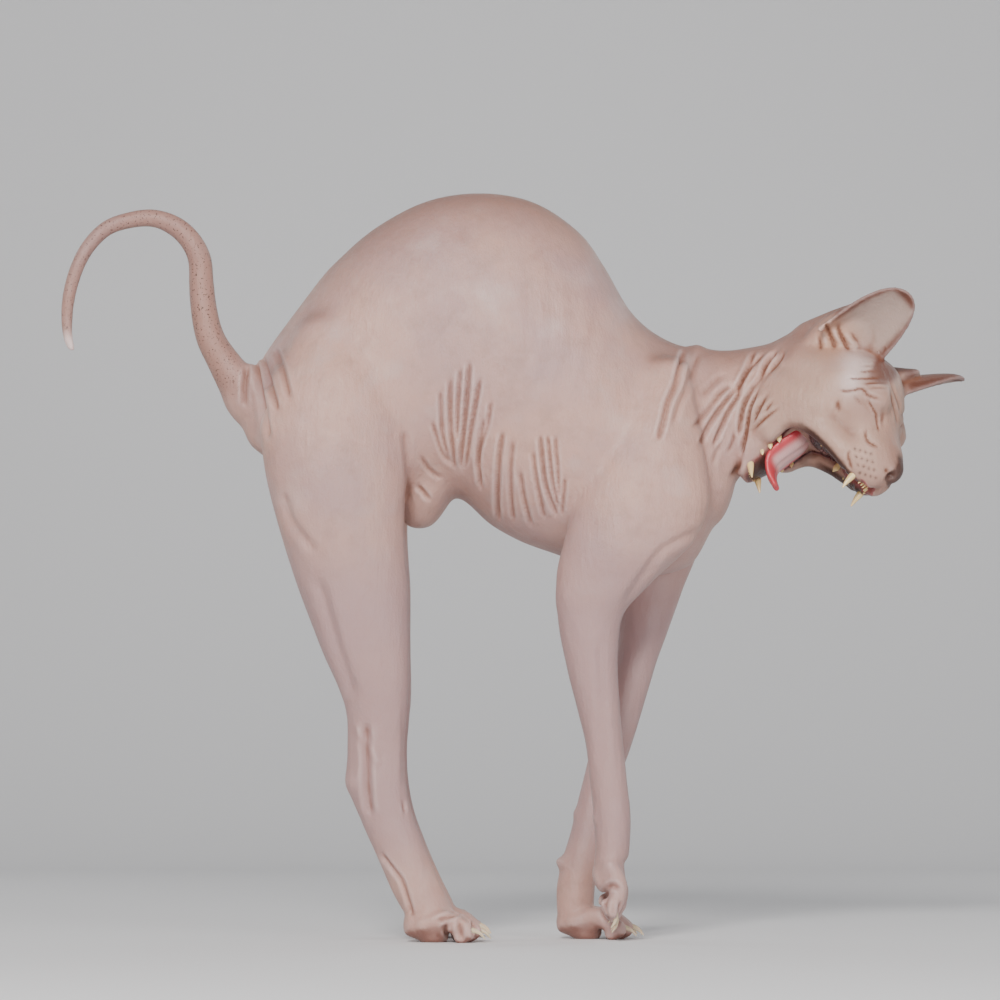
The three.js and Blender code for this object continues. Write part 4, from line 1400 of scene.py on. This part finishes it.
# Canines of each jaw: where they leave the gum, which way they point in x and z, and their size
CANINES = {
    "upper": ((53.5, 9.6, -21.5), (0.22, -0.97), 1.0),
    "lower": ((8, 8, -61), (0.88, -0.46), 0.95),
}
CANINE_RADIUS = 2.1
# Small teeth beside each canine: three incisors and three cheek teeth, as x, y, z, radius and length
UPPER_ROW = (
    (58, 1.4, -20, 0.8, 3),
    (57.6, 3.6, -20, 0.8, 3),
    (56.8, 5.8, -20, 0.95, 3.6),
    (44, 12.2, -21, 1.2, 3.4),
    (37, 13, -21.5, 1.7, 4.2),
    (29, 13.6, -23, 2.0, 4),
)
LOWER_ROW = (
    (9.5, 1.2, -64.5, 0.7, 2.6),
    (9.5, 3.2, -64.2, 0.7, 2.6),
    (9.5, 5.1, -63.6, 0.8, 3),
    (9.5, 11.6, -53, 1.1, 2.6),
    (9.5, 12.6, -47.5, 1.4, 3.2),
    (9.5, 13.4, -41.5, 1.6, 3.4),
)


def glow(weight):
    """Light passing under the surface of a tooth, a claw or the tongue."""
    return {"Subsurface Weight": weight, "Subsurface Scale": 0.002}


def canine_form(jaw, side):
    """A tapering oval carried from inside the gum along a line that bends back to the tip."""
    (x, y, z), (dx, dz), scale = CANINES[jaw]
    tip = sizes().canine / MM * scale
    r = CANINE_RADIUS * scale
    line = (
        (x - dx * 3, y, z - dz * 3, r, r * 0.85),
        (x + dx * tip * 0.35, y, z + dz * tip * 0.35, r * 0.9, r * 0.75),
        (x + dx * tip * 0.7 - dz * 0.3, y * 1.02, z + dz * tip * 0.7, r * 0.55, r * 0.5),
        (x + dx * tip * 0.97 - dz * 0.9, y * 1.04, z + dz * tip * 0.97, r * 0.2, r * 0.18),
    )
    return sweep(line_rows(line, side), 28, 40, dome=1.0)


def peg_form(peg, jaw, side):
    """A small tooth: a short tapering oval that points the way of its jaw's canine."""
    x, y, z, radius, length = peg
    dx, dz = CANINES[jaw][1]
    line = (
        (x, y, z, radius, radius * 0.7),
        (x + dx * length * 0.5, y, z + dz * length * 0.5, radius * 0.9, radius * 0.6),
        (x + dx * length, y, z + dz * length, radius * 0.25, radius * 0.2),
    )
    return sweep(line_rows(line, side), 16, 16, dome=1.0)


class CAT_OT_teeth(bpy.types.Operator):
    """Four curved canines, each a tapering oval along a bent line, with the small teeth beside them"""

    bl_idname = "cat.teeth"
    bl_label = "Teeth"

    def execute(self, context):
        enamel = shader("Enamel", (*look().tooth, 1), 0.25, **glow(0.15))
        for jaw, row in (("upper", UPPER_ROW), ("lower", LOWER_ROW)):
            for name, side in (("right", RIGHT), ("left", LEFT)):
                node = "canine_%s_%s" % (jaw, name)
                forms = [canine_form(jaw, side), *(peg_form(peg, jaw, side) for peg in row)]
                tooth = object_of(node + "_tooth", *turned(joined(forms), HEAD), enamel)
                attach(tooth, "root")
                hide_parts(node)
        return {"FINISHED"}


# How far the tongue stands off the floor of the mouth, how its edges curl up, and the height or depth and
# the half width of its crown and of the groove down its middle
TONGUE_LIFT = 2.6
TONGUE_CURL = 0.012
TONGUE_CROWN = (2.4, 6.5)
TONGUE_GROOVE = (0.9, 1.5)


class CAT_OT_tongue(bpy.types.Operator):
    """A flat oval along a bent line, its edges raised by the square of the way out from the middle"""

    bl_idname = "cat.tongue"
    bl_label = "Tongue"

    def execute(self, context):
        verts, faces = sweep(line_rows(TONGUE_LINE), 60, 90, dome=0.8)
        off = np.abs(verts[:, 1])
        curl = TONGUE_CURL * off**2 * ramp(-verts[:, 2], 20, 34)
        crown = TONGUE_CROWN[0] * np.exp(-((off / TONGUE_CROWN[1]) ** 2))
        groove_deep = TONGUE_GROOVE[0] * np.exp(-((off / TONGUE_GROOVE[1]) ** 2))
        verts[:, 0] += TONGUE_LIFT + curl + crown - groove_deep
        top = ramp(9.5 - off, 0, 4.5) * ramp(54 + verts[:, 2], 0, 5)
        edge, back = (*look().tongue, 1), (*look().tongue_top, 1)
        material = shader("Tongue", edge, 0.26, **glow(0.2))
        net = Net(material)
        net.put(net.mix(net.attribute("top"), edge, back), net.bsdf.inputs["Base Color"])
        rasp = net.node("Bump", {"Strength": 0.25, "Distance": 0.0006, "Height": net.noise(1100, 2)})
        net.put(rasp.outputs[0], net.bsdf.inputs["Normal"])
        tongue = object_of("tongue_flesh", *turned((verts, faces), HEAD), material)
        set_values(tongue.data, "top", top)
        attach(tongue, "root")
        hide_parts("tongue")
        return {"FINISHED"}


class CAT_OT_claws(bpy.types.Operator):
    """Sixteen curved claws, each a tapering oval carried along a line bent down"""

    bl_idname = "cat.claws"
    bl_label = "Claws"

    def execute(self, context):
        horn = shader("Claw horn", (*look().claw, 1), 0.3, **glow(0.2))
        length = sizes().claw / MM
        for leg, paw in PAWS.items():
            forms = []
            for k in range(4):
                reach = TOE_REACH[k] + 16
                y = TOE_SPREAD[k] + TOE_FAN[k] * 18
                z = 6.8 - paw["curl"] * 1.5
                line = (
                    (reach, y, z, 1.6, 1.0),
                    (reach + length * 0.35, y, z + 0.2, 1.35, 0.85),
                    (reach + length * 0.75, y, z - 1.4, 0.85, 0.55),
                    (reach + length * 1.02, y, z - 4.2, 0.25, 0.2),
                )
                forms.append(sweep(line_rows(line), 20, 24, dome=1.0))
            form = turned(joined(forms), paw_matrix(paw))
            claws = object_of("claws_" + leg, *form, horn)
            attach(claws, "root")
            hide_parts(*["claw_%s_%d" % (leg, k + 1) for k in range(4)])
        return {"FINISHED"}


# Lamps: name, place and size in metres, power in watts, tone
LAMPS = (
    ("Key", (-0.45, -2.2, 1.25), 0.6, 70, (1, 0.975, 0.95)),
    ("Fill", (1.2, -1.8, 0.35), 0.9, 20, (0.97, 0.98, 1)),
    ("Rim left", (-1.2, 0.9, 0.9), 0.6, 4, (1, 1, 1)),
    ("Rim right", (1.2, 0.8, 1.0), 0.6, 4, (1, 1, 1)),
)
LAMPS_AIM = (0, 0, 0.22)
SENSOR = 36
# The floor and backdrop in metres: half width, front edge, how far back the wall's bend starts, the bend's
# radius and the wall's top
PAPER_HALF_WIDTH = 3.5
PAPER_FRONT = -4.0
PAPER_BACK = 1.4
PAPER_BEND = 0.6
PAPER_TOP = 2.4


def backdrop_form():
    """A sheet that runs back along the floor, bends up in a quarter circle and stands behind, in mm."""
    angle = np.linspace(0, np.pi / 2, 24)
    bend = np.stack([PAPER_BACK + PAPER_BEND * np.sin(angle), PAPER_BEND * (1 - np.cos(angle))], 1)
    profile = np.concatenate([[(PAPER_FRONT, 0.0)], bend, [(PAPER_BACK + PAPER_BEND, PAPER_TOP)]])
    across = (-PAPER_HALF_WIDTH, PAPER_HALF_WIDTH)
    verts = np.array([(a, d, h) for d, h in profile for a in across])
    faces = np.array([(2 * i, 2 * i + 1, 2 * i + 3, 2 * i + 2) for i in range(len(profile) - 1)])
    return verts / MM, faces


class CAT_OT_stage(bpy.types.Operator):
    """Pale floor and backdrop, soft lamps and the camera at the photo's angle"""

    bl_idname = "cat.stage"
    bl_label = "Stage"

    def execute(self, context):
        scene = context.scene
        paper = shader("Floor paper", (*look().floor, 1), 0.8)
        backdrop = object_of("floor", *backdrop_form(), paper)
        for name, at, size, power, tone in LAMPS:
            lamp = bpy.data.lights.new(name, "AREA")
            lamp.energy = power
            lamp.size = size
            lamp.color = tone
            obj = bpy.data.objects.new(name, lamp)
            scene.collection.objects.link(obj)
            obj.location = at
            obj.rotation_euler = Matrix(look_matrix(np.array(LAMPS_AIM) - np.array(at))).to_euler()
        world = bpy.data.worlds.new("Soft light")
        world.use_nodes = True
        background = world.node_tree.nodes["Background"]
        background.inputs["Color"].default_value = (0.75, 0.77, 0.8, 1)
        background.inputs["Strength"].default_value = 0.26
        scene.world = world
        camera = bpy.data.objects.new("Camera", bpy.data.cameras.new("Camera"))
        scene.collection.objects.link(camera)
        camera.data.lens = SENSOR * -VIEW_FROM[1] / VIEW_WIDTH
        camera.data.sensor_width = SENSOR
        camera.data.clip_end = 20
        camera.location = VIEW_FROM * MM
        camera.rotation_euler = Matrix(look_matrix(VIEW_TO - VIEW_FROM)).to_euler()
        scene.camera = camera
        return {"FINISHED"}


def look_matrix(way):
    """The turn that points an object's -Z along way with its Y up."""
    back = -way / np.linalg.norm(way)
    right = np.cross((0, 0, 1), back)
    right /= np.linalg.norm(right)
    return np.stack([right, np.cross(back, right), back], 1).tolist()


OPERATORS = (CAT_OT_skin, CAT_OT_teeth, CAT_OT_tongue, CAT_OT_claws, CAT_OT_stage)


class CAT_PT_panel(bpy.types.Panel):
    """Lists the cat's sizes, colours and pieces"""

    bl_idname = "CAT_PT_panel"
    bl_label = "Sphynx cat"
    bl_space_type = "VIEW_3D"
    bl_region_type = "UI"
    bl_category = "Cat"

    def draw(self, context):
        for group in (context.scene.cat_sizes, context.scene.cat_look):
            box = self.layout.box()
            for name in group.__annotations__:
                box.prop(group, name)
        for operator in OPERATORS:
            self.layout.operator(operator.bl_idname)


CLASSES = (CatSizes, CatLook, *OPERATORS, CAT_PT_panel)


def register():
    """Adds the classes and the scene's two groups of values."""
    for cls in CLASSES:
        bpy.utils.register_class(cls)
    bpy.types.Scene.cat_sizes = bpy.props.PointerProperty(type=CatSizes)
    bpy.types.Scene.cat_look = bpy.props.PointerProperty(type=CatLook)


def unregister():
    """Takes them away again."""
    del bpy.types.Scene.cat_look
    del bpy.types.Scene.cat_sizes
    for cls in reversed(CLASSES):
        bpy.utils.unregister_class(cls)


def main():
    """Builds the cat and its stage."""
    register()
    bpy.ops.cat.skin()
    bpy.ops.cat.teeth()
    bpy.ops.cat.tongue()
    bpy.ops.cat.claws()
    bpy.ops.cat.stage()


if __name__ == "__main__":
    main()
